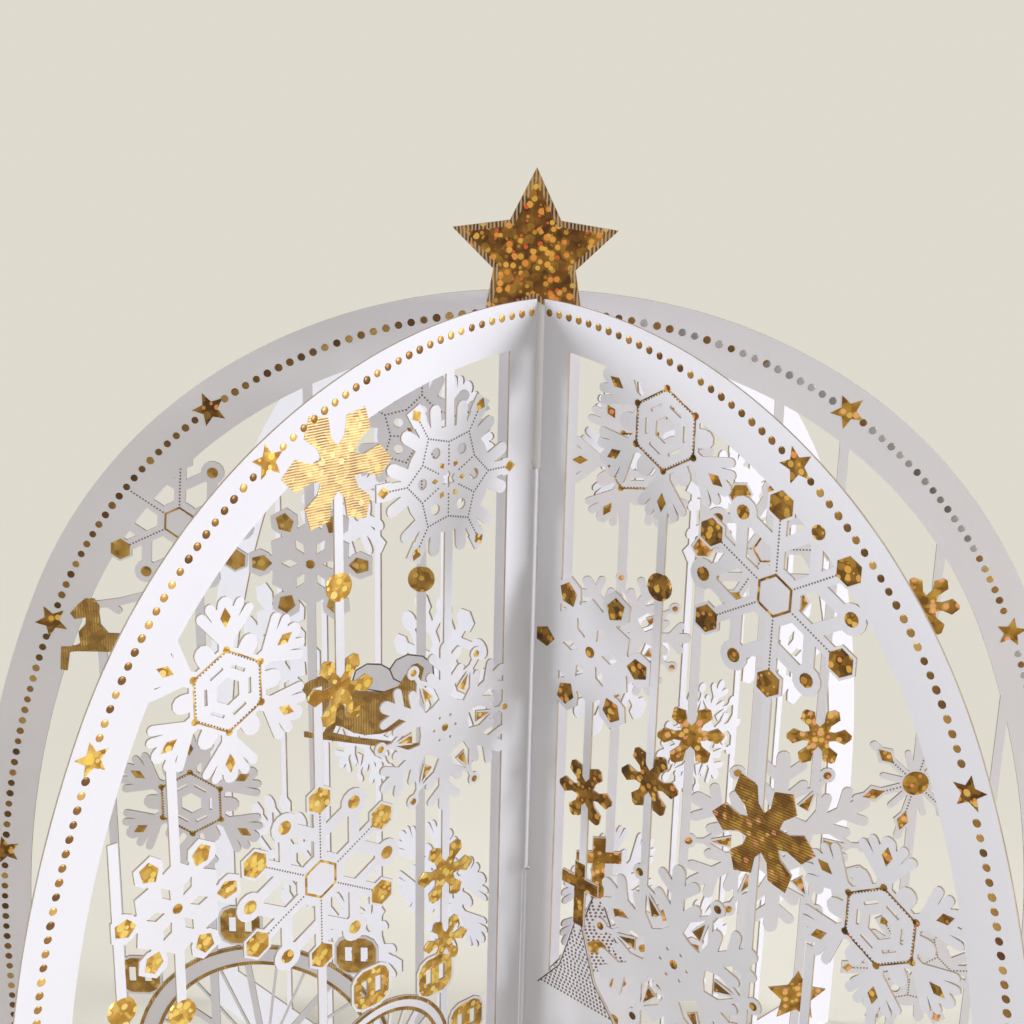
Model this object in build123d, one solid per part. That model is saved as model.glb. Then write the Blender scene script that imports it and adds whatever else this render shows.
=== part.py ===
from build123d import *
from math import cos, radians, sin
import os

# Pop up card: three laser-cut dome sheets that slot into each other on one upright line.
# Z is up, the card stands on z = 0, the slots meet on the Z axis and the side sheet lies in the XZ plane.

# Card stock and the spread of the sheets
card_thickness = 0.3
slot_width = 1.6
slot_relief_radius = 1.1
leaf_angle = 43.0

# Dome arch that the rows of dots follow, from the crown down to the upright sides
dot_crown_height = 136.0
crown_radius = 70.4
shoulder_radius = 64.6
flank_radius = 128.0
crown_turn = 26.0
shoulder_turn = 40.0

# Frame widths outside and inside the row of dots
front_outer_border = 2.7
front_inner_border = 4.2
side_outer_border = 3.5
side_inner_border = 3.6
spine_bar_half_width = 5.0
base_band_height = 9.6

# Height of the drawing of the ornaments, which hangs down from the crown of the dome
lattice_height = 136.0

# How far below the crown one sheet rests on the next
upper_joint_drop = 20.0
lower_joint_drop = 77.0

# Star on the crown of the side sheet
crown_star_radius = 10.6
crown_star_rise = 6.7
crown_star_offset = -0.9
star_inner_share = 0.5
star_points = 5

# Hanging strips and the round baubles on them
strip_width = 1.2
bauble_radius = 1.7
bauble_sides = 6
cutting_overrun = 5.0

# Ferris wheels: the large one on the side sheet and the small one on the left front sheet
wheel_radius = 18.7
wheel_height = 26.8
wheel_across_share = 0.504
small_wheel_radius = 11.0
small_wheel_height = 37.5
small_wheel_across_share = 0.337
wheel_rim_share = 0.17
wheel_sides = 20
wheel_spokes = 8
wheel_first_turn = 8.0
wheel_spoke_width = 0.9
wheel_stand_share = 0.3
cabin_size = 4.6
cabin_reach = 3.2

# Church with the cross on its roof
church_width = 14.4
church_wall_height = 42.5
church_roof_height = 56.5
church_across_share = 0.138
cross_height = 9.4
cross_width = 6.2
cross_bar_width = 1.9

# Small star on a strip of the side sheet
strip_star_radius = 4.2
strip_star_height = 39.9
strip_star_across_share = 0.531

# Symmetry of the snowflakes
arms = 6
arm_step = 360.0 / arms

# Half arms of the snowflakes, as shares of the radius: along the arm and across it,
# from the middle of the gap between two arms to the tip of the arm
PETAL_ARM_SHARES = [(0.30, 0.173), (0.48, 0.14), (0.76, 0.25), (1.0, 0.0)]
BLOOM_ARM_SHARES = [(0.34, 0.196), (0.76, 0.25), (1.0, 0.0)]
KITE_ARM_SHARES = [(0.59, 0.341), (0.56, 0.15), (0.77, 0.23), (0.94, 0.14), (1.0, 0.0)]
FERN_ARM_SHARES = [
    (0.50, 0.289), (0.50, 0.20), (0.41, 0.13), (0.52, 0.06), (0.66, 0.31), (0.75, 0.29),
    (0.70, 0.14), (0.91, 0.20), (0.85, 0.07), (1.0, 0.0),
]
SPOKE_ARM_SHARES = [
    (0.775, 0.4475), (0.765, 0.305), (0.608, 0.287), (0.52, 0.055),
    (0.74, 0.055), (0.775, 0.13), (0.925, 0.13), (1.0, 0.0),
]
NET_ARM_SHARES = [
    (0.54, 0.312), (0.77, 0.33), (0.637, 0.137), (0.80, 0.085), (0.93, 0.12), (1.0, 0.0),
]
BRANCH_ARM_SHARES = [
    (0.805, 0.465), (0.790, 0.392), (0.621, 0.324), (0.50, 0.075), (0.69, 0.28),
    (0.69, 0.11), (0.89, 0.22), (0.85, 0.07), (1.0, 0.0),
]
FLAKE_ARM_SHARES = [(0.50, 0.289), (0.42, 0.10), (0.72, 0.30), (1.0, 0.0)]

# Cut-outs repeated round a snowflake: on the arms or in the gaps between them
KITE_SLIT_SHARES = [(0.24, 0.0), (0.40, 0.09), (0.58, 0.0), (0.40, -0.09)]
RING_EYE_SHARES = [(0.14, 0.0)]
SPOKE_HOLE_SHARES = [(0.46, 0.0), (0.30, 0.11), (0.30, -0.11)]
NET_HOLE_SHARES = [(0.28, 0.0), (0.38, 0.08), (0.50, 0.0), (0.38, -0.08)]
BRANCH_HOLE_SHARES = [(0.40, 0.11), (0.68, 0.0), (0.40, -0.11), (0.55, 0.0)]

# Outline of the reindeer and of the sleigh, as shares of their length: inward from the outer
# corner, and up
REINDEER_SHARES = [
    (0.02, 0.02), (0.09, 0.02), (0.10, 0.23), (0.32, 0.21), (0.78, 0.22), (0.86, 0.0), (0.93, 0.0),
    (0.98, 0.42), (0.49, 0.44), (0.46, 0.62), (0.70, 0.76), (0.42, 0.74), (0.33, 0.75), (0.19, 0.59),
    (0.32, 0.56), (0.22, 0.33), (0.05, 0.28),
]
SLEIGH_SHARES = [
    (0.0, 0.52), (0.16, 0.30), (0.22, 0.10), (0.04, 0.14), (0.02, 0.06), (0.90, 0.0),
    (1.0, 0.08), (0.96, 0.14), (0.86, 0.06), (0.80, 0.22), (0.92, 0.40), (0.98, 0.72), (0.88, 0.76),
    (0.78, 0.52), (0.46, 0.46), (0.34, 0.60), (0.16, 0.62),
]
SLEIGH_GAP_SHARES = [(0.28, 0.10), (0.30, 0.22), (0.70, 0.18), (0.74, 0.06)]

# Right half of the church roof, from the eaves to its top, as shares: across half the width and
# up the roof
STEEPLE_SHARES = [(1.0, 0.0), (0.42, 0.32), (0.20, 0.70), (0.0, 1.0)]

# Place and length of each figure, as shares: outer corner across the half span,
# foot up the lattice height, and the length over the half span
REINDEER_PLACE_SHARES = (0.859, 0.635, 0.187)
SLEIGH_PLACE_SHARES = (0.42, 0.56, 0.230)

# Shape, place and size of each snowflake as shares: across the half span, up the lattice
# height, and the radius over the half span. The last value is the turn of its arms.
FRONT_LEFT_SHARES = [
    ("bloom", 0.423, 0.891, 0.104, 0), ("net", 0.200, 0.861, 0.152, 0), ("bloom", 0.423, 0.691, 0.065, 0),
    ("fern", 0.633, 0.721, 0.155, 30), ("kite", 0.736, 0.541, 0.115, 0), ("spoke", 0.468, 0.515, 0.178, 30),
    ("branch", 0.203, 0.621, 0.160, 30), ("bloom", 0.198, 0.469, 0.062, 0), ("bloom", 0.196, 0.393, 0.050, 0),
]
FRONT_RIGHT_SHARES = [
    ("fern", 0.281, 0.918, 0.155, 30), ("spoke", 0.511, 0.801, 0.178, 30), ("kite", 0.141, 0.691, 0.137, 0),
    ("bloom", 0.143, 0.547, 0.062, 0), ("bloom", 0.286, 0.587, 0.062, 0), ("petal", 0.523, 0.585, 0.100, 0),
    ("branch", 0.361, 0.413, 0.195, 30), ("fern", 0.747, 0.547, 0.155, 30),
]
SIDE_LEFT_SHARES = [
    ("spoke", 0.630, 0.790, 0.145, 26), ("kite", 0.398, 0.752, 0.112, 0), ("flake", 0.200, 0.880, 0.130, 30),
    ("star", 0.630, 0.495, 0.145, 30),
]
SIDE_RIGHT_SHARES = [
    ("bloom", 0.177, 0.862, 0.130, 0), ("bloom", 0.157, 0.687, 0.130, 0), ("bloom", 0.297, 0.585, 0.062, 0),
    ("bloom", 0.531, 0.588, 0.060, 0), ("bloom", 0.700, 0.727, 0.060, 0), ("bloom", 0.414, 0.780, 0.140, 0),
]
BACK_SHARES = [
    ("bloom", 0.230, 0.860, 0.130, 0), ("bloom", 0.530, 0.760, 0.150, 30), ("bloom", 0.480, 0.500, 0.130, 0),
]

# Strips that carry the ornaments, as shares: across the half span, up to a height, and up
# from a height where the strip doesn't start on the base band
FRONT_LEFT_STRIP_SHARES = [
    (0.423, 0.95, 0.68), (0.468, 0.70), (0.198, 0.97), (0.736, 0.68), (0.838, 0.62),
]
FRONT_RIGHT_STRIP_SHARES = [
    (0.285, 0.90), (0.511, 0.90), (0.143, 0.69, 0.36), (0.747, 0.54), (0.629, 0.50),
]
SIDE_LEFT_STRIP_SHARES = [
    (0.398, 0.94, 0.38), (0.200, 0.97), (0.780, 0.66), (0.600, 0.74),
]
SIDE_RIGHT_STRIP_SHARES = [
    (0.297, 0.93), (0.531, 0.88), (0.716, 0.80), (0.157, 0.90, 0.40), (0.860, 0.60),
    (0.414, 0.80),
]
BACK_STRIP_SHARES = [(0.230, 0.95), (0.420, 0.92), (0.590, 0.85), (0.740, 0.75)]

# Baubles as shares: across the half span and up the lattice height
FRONT_LEFT_BAUBLE_SHARES = [(0.423, 0.786), (0.736, 0.440), (0.838, 0.466)]
FRONT_RIGHT_BAUBLE_SHARES = [(0.285, 0.776)]
SIDE_LEFT_BAUBLE_SHARES = [(0.200, 0.740)]
SIDE_RIGHT_BAUBLE_SHARES = [(0.716, 0.541)]


def polar(radius, turn):
    """Point at a radius, with the turn in degrees from the across direction."""
    return (radius * cos(radians(turn)), radius * sin(radians(turn)))


def arch_centres():
    """Centres of the crown, shoulder and flank arcs."""
    crown = (0, dot_crown_height - crown_radius)
    step = crown_radius - shoulder_radius
    shoulder = (crown[0] + step * sin(radians(crown_turn)), crown[1] + step * cos(radians(crown_turn)))
    turn = radians(crown_turn + shoulder_turn)
    step = shoulder_radius - flank_radius
    flank = (shoulder[0] + step * sin(turn), shoulder[1] + step * cos(turn))
    return crown, shoulder, flank


def arc_points(centre, radius, start, end, side):
    """Start, middle and end of one arc of the arch, in degrees down from the crown."""
    turns = (start, (start + end) / 2, end)
    return [(side * (centre[0] + radius * sin(radians(t))), centre[1] + radius * cos(radians(t))) for t in turns]


def arch_face(border):
    """Area under the dome arch, moved out from the row of dots by the border."""
    crown, shoulder, flank = arch_centres()
    low = crown_turn + shoulder_turn
    edges = [ThreePointArc(*arc_points(crown, crown_radius + border, -crown_turn, crown_turn, 1))]
    for side in (-1, 1):
        edges.append(ThreePointArc(*arc_points(shoulder, shoulder_radius + border, crown_turn, low, side)))
        edges.append(ThreePointArc(*arc_points(flank, flank_radius + border, low, 90, side)))
        foot = (side * (flank[0] + flank_radius + border), 0)
        edges.append(Line(foot, (foot[0], flank[1])))
    span = flank[0] + flank_radius + border
    edges.append(Line((-span, 0), (span, 0)))
    return make_face(edges)


def half_span():
    """Half the width of the row of dots at the base."""
    return arch_centres()[2][0] + flank_radius


def height_at(share):
    """Height at a share of the way up the lattice."""
    return dot_crown_height - (1 - share) * lattice_height


def rectangle(left, right, low, high):
    """Upright rectangle between two sides and two heights."""
    return Pos((left + right) / 2, (low + high) / 2) * Rectangle(abs(right - left), high - low)


def outline_face(points):
    """Flat face inside one closed outline."""
    return make_face(Polyline(*points, close=True))


def placed(shares, radius, turn, centre):
    """Points given as shares along and across a direction, placed round a centre."""
    c, s = cos(radians(turn)), sin(radians(turn))
    return [(centre[0] + radius * (u * c - v * s), centre[1] + radius * (u * s + v * c)) for u, v in shares]


def turned_points(shares, radius, turn, centre):
    """The same points repeated once for each arm, in one closed order."""
    points = []
    for arm in range(arms):
        points += placed(shares, radius, turn + arm * arm_step, centre)
    return points


def snowflake_outline(arm_shares, radius, turn, centre):
    """Outline of a snowflake: its half arm mirrored and repeated round the centre."""
    gap, rest = arm_shares[0], arm_shares[1:]
    mirrored = [(u, v) for u, v in reversed(rest) if v > 0]
    whole_arm = [(gap[0], -gap[1])] + [(u, -v) for u, v in rest] + mirrored
    return outline_face(turned_points(whole_arm, radius, turn, centre))


def ring_of(shares, radius, turn, centre):
    """The same cut-out repeated once for each arm."""
    return [outline_face(placed(shares, radius, turn + arm * arm_step, centre)) for arm in range(arms)]


def snowflake(shape, radius, turn, centre):
    """Outer face and cut-outs of one snowflake."""
    gap_turn = turn + arm_step / 2
    place = (radius, turn, centre)
    gap_place = (radius, gap_turn, centre)
    if shape == "petal":
        return snowflake_outline(PETAL_ARM_SHARES, *place), []
    if shape == "bloom":
        return snowflake_outline(BLOOM_ARM_SHARES, *place), []
    if shape == "flake":
        return snowflake_outline(FLAKE_ARM_SHARES, *place), []
    if shape == "star":
        return snowflake_outline(FLAKE_ARM_SHARES, *place), [outline_face(turned_points(RING_EYE_SHARES, *place))]
    if shape == "kite":
        return snowflake_outline(KITE_ARM_SHARES, *place), ring_of(KITE_SLIT_SHARES, *place)
    if shape == "fern":
        return snowflake_outline(FERN_ARM_SHARES, *place), [outline_face(turned_points(RING_EYE_SHARES, *place))]
    if shape == "spoke":
        return snowflake_outline(SPOKE_ARM_SHARES, *place), ring_of(SPOKE_HOLE_SHARES, *gap_place)
    if shape == "net":
        return snowflake_outline(NET_ARM_SHARES, *place), ring_of(NET_HOLE_SHARES, *place)
    return snowflake_outline(BRANCH_ARM_SHARES, *place), ring_of(BRANCH_HOLE_SHARES, *gap_place)


def ornaments(table_shares, side):
    """Faces and cut-outs of a table of snowflakes on one side of the spine."""
    faces, cuts = [], []
    for shape, across, up, size, turn in table_shares:
        centre = (side * across * half_span(), height_at(up))
        face, holes = snowflake(shape, size * half_span(), turn, centre)
        faces.append(face)
        cuts += holes
    return faces, cuts


def strips(table_shares, side):
    """Upright strips that the ornaments hang on."""
    faces = []
    for across, high, *low in table_shares:
        middle = side * across * half_span()
        bottom = height_at(low[0]) if low else base_band_height - card_thickness
        faces.append(rectangle(middle - strip_width / 2, middle + strip_width / 2, bottom, height_at(high)))
    return faces


def baubles(table_shares, side):
    """Round baubles on the strips."""
    bauble = RegularPolygon(bauble_radius, bauble_sides)
    return [Pos(side * across * half_span(), height_at(up)) * bauble for across, up in table_shares]


def figure(shares, place_shares, side):
    """Flat figure drawn from its lower outer corner towards the spine."""
    across, up, size = place_shares
    span = half_span()
    foot = height_at(up)
    return outline_face([(side * span * (across - size * u), foot + span * size * v) for u, v in shares])


def cross(middle, foot):
    """Plain cross that stands on a church roof."""
    upright = rectangle(middle - cross_bar_width / 2, middle + cross_bar_width / 2, foot, foot + cross_height)
    bar_height = foot + cross_height - cross_width / 2
    bar = rectangle(middle - cross_width / 2, middle + cross_width / 2, bar_height - cross_bar_width / 2,
                    bar_height + cross_bar_width / 2)
    return [upright, bar]


def church():
    """Church front with its steep curved roof and its cross."""
    middle = church_across_share * half_span()
    half = church_width / 2
    rise = church_roof_height - church_wall_height
    outline = [(middle - half, 0), (middle + half, 0)]
    outline += [(middle + half * u, church_wall_height + rise * v) for u, v in STEEPLE_SHARES]
    outline += [(middle - half * u, church_wall_height + rise * v) for u, v in reversed(STEEPLE_SHARES) if u > 0]
    return [outline_face(outline)] + cross(middle, church_roof_height - cross_bar_width)


def wheel(radius, centre):
    """Ferris wheel with its rim, spokes, cabins and stand."""
    rim = RegularPolygon(radius, wheel_sides) - RegularPolygon(radius * (1 - wheel_rim_share), wheel_sides)
    faces = [Pos(*centre) * rim]
    reach = radius + cabin_reach
    for spoke in range(wheel_spokes):
        turn = wheel_first_turn + spoke * 360.0 / wheel_spokes
        bar = Pos(reach / 2, 0) * Rectangle(reach, wheel_spoke_width)
        faces.append(Pos(*centre) * Rot(0, 0, turn) * bar)
        x, z = polar(reach, turn)
        faces.append(Pos(centre[0] + x, centre[1] + z) * Rectangle(cabin_size, cabin_size))
    spread = radius * wheel_stand_share
    faces.append(outline_face([centre, (centre[0] - spread, 0), (centre[0] + spread, 0)]))
    return faces


def frame(outer_border, inner_border):
    """Dome frame with its spine bar, base band and two open windows."""
    face = arch_face(outer_border)
    opening = arch_face(-inner_border)
    reach = half_span()
    for side in (-1, 1):
        pane = rectangle(side * spine_bar_half_width, side * reach, base_band_height, dot_crown_height)
        face = face - (opening & pane)
    return face


def upper_joint_height():
    """Height at which the side sheet rests on the left front sheet."""
    return dot_crown_height - upper_joint_drop


def lower_joint_height():
    """Height at which the left front sheet rests on the right front sheet."""
    return dot_crown_height - lower_joint_drop


def slot(low, high):
    """Slot on the spine between two heights."""
    return rectangle(-slot_width / 2, slot_width / 2, low, high)


def relief():
    """Six-sided widening of a slot just above its flat closed end at the upper joint."""
    height = upper_joint_height() + slot_relief_radius * cos(radians(arm_step / 2))
    return Pos(0, height) * RegularPolygon(slot_relief_radius, arms)


def sheet(outer_border, inner_border, added, cuts):
    """One flat sheet, cut from the frame and all that hangs in its windows."""
    filling = (Sketch() + added) & arch_face(outer_border)
    face = (frame(outer_border, inner_border) + filling) - cuts
    return extrude(Plane.XZ * face, amount=card_thickness / 2, both=True)


def star_outline(radius):
    """Corners of a star that stands on two of its points."""
    points = []
    for point in range(star_points):
        turn = 90 + point * 360.0 / star_points
        points.append(polar(radius, turn))
        points.append(polar(radius * star_inner_share, turn + 180.0 / star_points))
    return points


def crown_star():
    """Five-pointed star that rises from the crown of the side sheet."""
    place = (crown_star_offset, dot_crown_height + crown_star_rise)
    face = Pos(*place) * outline_face(star_outline(crown_star_radius))
    return extrude(Plane.XZ * face, amount=card_thickness / 2, both=True)


def side_sheet():
    """Sheet across the card, with the star on its crown."""
    left, left_cuts = ornaments(SIDE_LEFT_SHARES, -1)
    right, right_cuts = ornaments(SIDE_RIGHT_SHARES, 1)
    added = left + right + strips(SIDE_LEFT_STRIP_SHARES, -1) + strips(SIDE_RIGHT_STRIP_SHARES, 1)
    added += baubles(SIDE_LEFT_BAUBLE_SHARES, -1) + baubles(SIDE_RIGHT_BAUBLE_SHARES, 1)
    added.append(figure(REINDEER_SHARES, REINDEER_PLACE_SHARES, -1))
    added.append(figure(SLEIGH_SHARES, SLEIGH_PLACE_SHARES, -1))
    added += wheel(wheel_radius, (-wheel_across_share * half_span(), wheel_height)) + church()
    star_place = (strip_star_across_share * half_span(), strip_star_height)
    added.append(Pos(*star_place) * outline_face(star_outline(strip_star_radius)))
    cuts = left_cuts + right_cuts + [slot(-cutting_overrun, upper_joint_height())]
    cuts.append(figure(SLEIGH_GAP_SHARES, SLEIGH_PLACE_SHARES, -1))
    return sheet(side_outer_border, side_inner_border, added, cuts) + crown_star()


def left_front_sheet():
    """Sheet that runs from the front left leaf through the spine to the back right leaf."""
    front, front_cuts = ornaments(FRONT_LEFT_SHARES, -1)
    back, back_cuts = ornaments(BACK_SHARES, 1)
    added = front + back + strips(FRONT_LEFT_STRIP_SHARES, -1) + strips(BACK_STRIP_SHARES, 1)
    added += baubles(FRONT_LEFT_BAUBLE_SHARES, -1)
    added += wheel(small_wheel_radius, (-small_wheel_across_share * half_span(), small_wheel_height))
    cuts = front_cuts + back_cuts + [relief(), slot(upper_joint_height(), dot_crown_height + cutting_overrun)]
    cuts.append(slot(-cutting_overrun, lower_joint_height()))
    return Rot(0, 0, leaf_angle) * sheet(front_outer_border, front_inner_border, added, cuts)


def right_front_sheet():
    """Sheet that runs from the front right leaf through the spine to the back left leaf."""
    front, front_cuts = ornaments(FRONT_RIGHT_SHARES, 1)
    back, back_cuts = ornaments(BACK_SHARES, -1)
    added = front + back + strips(FRONT_RIGHT_STRIP_SHARES, 1) + strips(BACK_STRIP_SHARES, -1)
    added += baubles(FRONT_RIGHT_BAUBLE_SHARES, 1) + church()
    cuts = front_cuts + back_cuts + [slot(lower_joint_height(), dot_crown_height + cutting_overrun)]
    return Rot(0, 0, -leaf_angle) * sheet(front_outer_border, front_inner_border, added, cuts)


os.makedirs("parts", exist_ok=True)
export_step(side_sheet(), "parts/side_sheet.step")
export_step(left_front_sheet(), "parts/left_front_sheet.step")
export_step(right_front_sheet(), "parts/right_front_sheet.step")
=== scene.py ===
"""Pop up card: three laser-cut dome sheets on one spine, stamped with gold foil and engraved lines."""

import logging
from collections.abc import Callable, Iterable, Iterator, Sequence
from dataclasses import dataclass, field
from enum import Enum
from math import atan2, cos, pi, radians, sin, sqrt, tau

import bmesh
import bpy
from mathutils import Matrix, Vector
from mathutils.geometry import delaunay_2d_cdt


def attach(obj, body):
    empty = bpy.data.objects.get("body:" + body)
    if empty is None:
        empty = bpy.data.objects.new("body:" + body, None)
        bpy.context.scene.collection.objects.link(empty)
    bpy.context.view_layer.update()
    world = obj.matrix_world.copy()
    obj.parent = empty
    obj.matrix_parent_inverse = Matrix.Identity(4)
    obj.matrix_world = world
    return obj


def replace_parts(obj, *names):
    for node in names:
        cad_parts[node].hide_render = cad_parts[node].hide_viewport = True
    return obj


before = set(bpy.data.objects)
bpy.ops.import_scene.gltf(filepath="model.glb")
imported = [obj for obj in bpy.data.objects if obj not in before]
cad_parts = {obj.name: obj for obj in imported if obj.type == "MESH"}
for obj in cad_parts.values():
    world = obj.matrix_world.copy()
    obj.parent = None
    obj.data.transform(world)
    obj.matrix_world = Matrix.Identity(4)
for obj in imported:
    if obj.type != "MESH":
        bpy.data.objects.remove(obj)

Point = tuple[float, float]
Outline = tuple[Point, ...]
Colour = tuple[float, float, float]
Triple = tuple[float, float, float]
Material = bpy.types.Material
Socket = bpy.types.NodeSocket
Settings = dict[str, object] | None
Sockets = dict[str | int, object] | None

LOG = logging.getLogger("pop_up_card")
MM = 0.001
SPARK = "spark"


class Slot(Enum):
    """Material slots of the record."""

    CARD = "white_card"
    FOIL = "gold_foil"


class Kind(Enum):
    """Kinds of snowflake cut in the sheets."""

    PETAL = "petal"
    BLOOM = "bloom"
    KITE = "kite"
    FERN = "fern"
    SPOKE = "spoke"
    NET = "net"
    BRANCH = "branch"
    SPARK = "spark"


class Cover(Enum):
    """Which foil covers a whole ornament: none, glitter or one of the hatched kinds."""

    BARE = "bare"
    GLITTER = "glitter"
    STAR_EDGE = "star_edge"
    LIGHT_HATCH = "light_hatched"
    DARK_HATCH = "dark_hatched"
    FIGURE = "figure"


class Role(Enum):
    """What an outline does to the card that it is drawn on."""

    BODY = "body"
    WINDOW = "window"
    ADDED = "added"
    FREE = "free"
    CUT = "cut"


class Tone(Enum):
    """Colour that gold foil takes on the different faces of the card: copies of one foil with the light and
    shade of each face painted in, and the crown star's own foil.
    """

    LIT = "bright"
    HALF_SHADED = "deep"
    SHADOWED = "shadowed"
    ROSY_LIT = "rosy"
    STAR = "star"


# --------------------------------------------------------------------------------------
# Node helpers


def operator(operation: str) -> Callable[..., "Value"]:
    """Method that adds a Math node.

    Args:
        operation: The node's operation.

    Returns:
        The method, which takes further inputs of the node and returns its result.
    """
    def method(value: "Value", *others: "Value | float") -> "Value":
        """Adds the node and wraps its result."""
        sockets = dict(enumerate((value, *others)))
        return value.nodes.value("ShaderNodeMath", 0, {"operation": operation}, sockets)

    return method


class Value:
    """A number socket of a node tree that takes part in Python expressions."""

    def __init__(self, nodes: "Nodes", socket: Socket) -> None:
        """Wraps one output socket of the tree that the helper adds to."""
        self.nodes = nodes
        self.socket = socket

    __add__ = operator("ADD")
    __sub__ = operator("SUBTRACT")
    __mul__ = operator("MULTIPLY")
    __truediv__ = operator("DIVIDE")
    __mod__ = operator("MODULO")
    __abs__ = operator("ABSOLUTE")
    __lt__ = operator("LESS_THAN")
    __gt__ = operator("GREATER_THAN")
    least = operator("MINIMUM")
    sine = operator("SINE")


class Nodes:
    """Adds nodes to one tree and links them."""

    def __init__(self, tree: bpy.types.NodeTree) -> None:
        """Takes the shader or geometry tree to add to."""
        self.tree = tree

    def feed(self, socket: Socket, value: object) -> None:
        """Links or sets one input socket.

        Args:
            socket: The input.
            value: A Value, a socket, or a constant.
        """
        if isinstance(value, Value):
            value = value.socket
        if isinstance(value, Socket):
            self.tree.links.new(value, socket)
        else:
            socket.default_value = value

    def add(self, kind: str, settings: Settings = None, sockets: Sockets = None) -> bpy.types.Node:
        """Adds one node.

        Args:
            kind: The node's type.
            settings: Its own settings, set first. "stops" is a list of (place, colour) for a ramp.
            sockets: Values or links of its inputs, by name or number.

        Returns:
            The node.
        """
        node = self.tree.nodes.new(kind)
        for name, value in (settings or {}).items():
            if name == "stops":
                self._stops(node.color_ramp, value)
            else:
                setattr(node, name, value)
        for key, value in (sockets or {}).items():
            self.feed(node.inputs[key], value)
        return node

    @staticmethod
    def _stops(ramp: bpy.types.ColorRamp, stops: Sequence[tuple[float, Colour]]) -> None:
        """Gives a ramp its stops.

        Args:
            ramp: The ramp.
            stops: Place and colour of each stop.
        """
        while len(ramp.elements) < len(stops):
            ramp.elements.new(1.0)
        for element, (place, colour) in zip(ramp.elements, stops):
            element.position = place
            element.color = (*colour, 1.0)

    def value(
        self, kind: str, output: int | str, settings: Settings = None, sockets: Sockets = None,
    ) -> Value:
        """Adds a node as add does, and wraps one of its outputs."""
        return Value(self, self.add(kind, settings, sockets).outputs[output])

    def mix(self, share: "Value | float", first: object, second: object) -> Socket:
        """Mixes two colours.

        Args:
            share: How much of the second.
            first: Colour or link.
            second: Colour or link.

        Returns:
            The mixed colour's socket.
        """
        colours = [(*c, 1.0) if isinstance(c, tuple) else c for c in (first, second)]
        sockets = {0: share, 6: colours[0], 7: colours[1]}
        return self.add("ShaderNodeMix", {"data_type": "RGBA"}, sockets).outputs[2]

    def ramp(self, share: Value, places: Sequence[float], colours: Sequence[Colour]) -> Socket:
        """Colour at a share of a ramp with stops of these colours at these places."""
        stops = list(zip(places, colours))
        return self.add("ShaderNodeValToRGB", {"stops": stops}, {0: share}).outputs[0]


class Surface:
    """A material with one principled shader, and the coordinates that its patterns read."""

    def __init__(self, name: str) -> None:
        """Makes the empty material.

        Args:
            name: Its name.
        """
        self.material = bpy.data.materials.new(name)
        self.material.use_nodes = True
        self.nodes = Nodes(self.material.node_tree)
        self.shader = self.material.node_tree.nodes["Principled BSDF"]
        self.place = self.nodes.add("ShaderNodeTexCoord")

    def noise(self, size: float, detail: float = 2.0, stretch: Triple = (1, 1, 1)) -> Value:
        """Soft noise.

        Args:
            size: Width of one patch, in metres.
            detail: Octaves.
            stretch: How much denser it is along each axis.

        Returns:
            The noise, about 0.5 on average.
        """
        sockets = {"Vector": self.place.outputs["Object"], "Scale": stretch}
        mapping = self.nodes.add("ShaderNodeMapping", None, sockets)
        sockets = {"Vector": mapping.outputs[0], "Scale": 1.0 / size, "Detail": detail}
        return self.nodes.value("ShaderNodeTexNoise", "Fac", None, sockets)

    def along(self, axis: int) -> Value:
        """Object coordinate along one axis, in metres."""
        split = self.nodes.add("ShaderNodeSeparateXYZ", None, {0: self.place.outputs["Object"]})
        return Value(self.nodes, split.outputs[axis])

    def bump(self, height: Value, strength: float, distance: float) -> None:
        """Lets a height move the shading.

        Args:
            height: The height.
            strength: Share of the effect.
            distance: Real height, in metres.
        """
        sockets = {"Strength": strength, "Distance": distance, "Height": height}
        node = self.nodes.add("ShaderNodeBump", None, sockets)
        self.nodes.feed(self.shader.inputs["Normal"], node.outputs[0])

    def set(self, **sockets: object) -> None:
        """Sets sockets of the shader, with _ for a space in their names."""
        for name, value in sockets.items():
            if isinstance(value, tuple):
                value = (*value, 1.0)
            self.nodes.feed(self.shader.inputs[name.replace("_", " ")], value)


# --------------------------------------------------------------------------------------
# Finishes


@dataclass(frozen=True)
class Finish:
    """A material in the making. Each kind says how it paints the surface.

    Widths and heights are in metres, and roughness is given as its least value and its spread.
    """

    name: str

    def paint(self, surface: Surface) -> None:
        """Gives the surface its colours and its relief."""

    def make(self) -> Material:
        """Makes the material.

        Returns:
            The material.
        """
        surface = Surface(self.name)
        self.paint(surface)
        return surface.material


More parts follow.
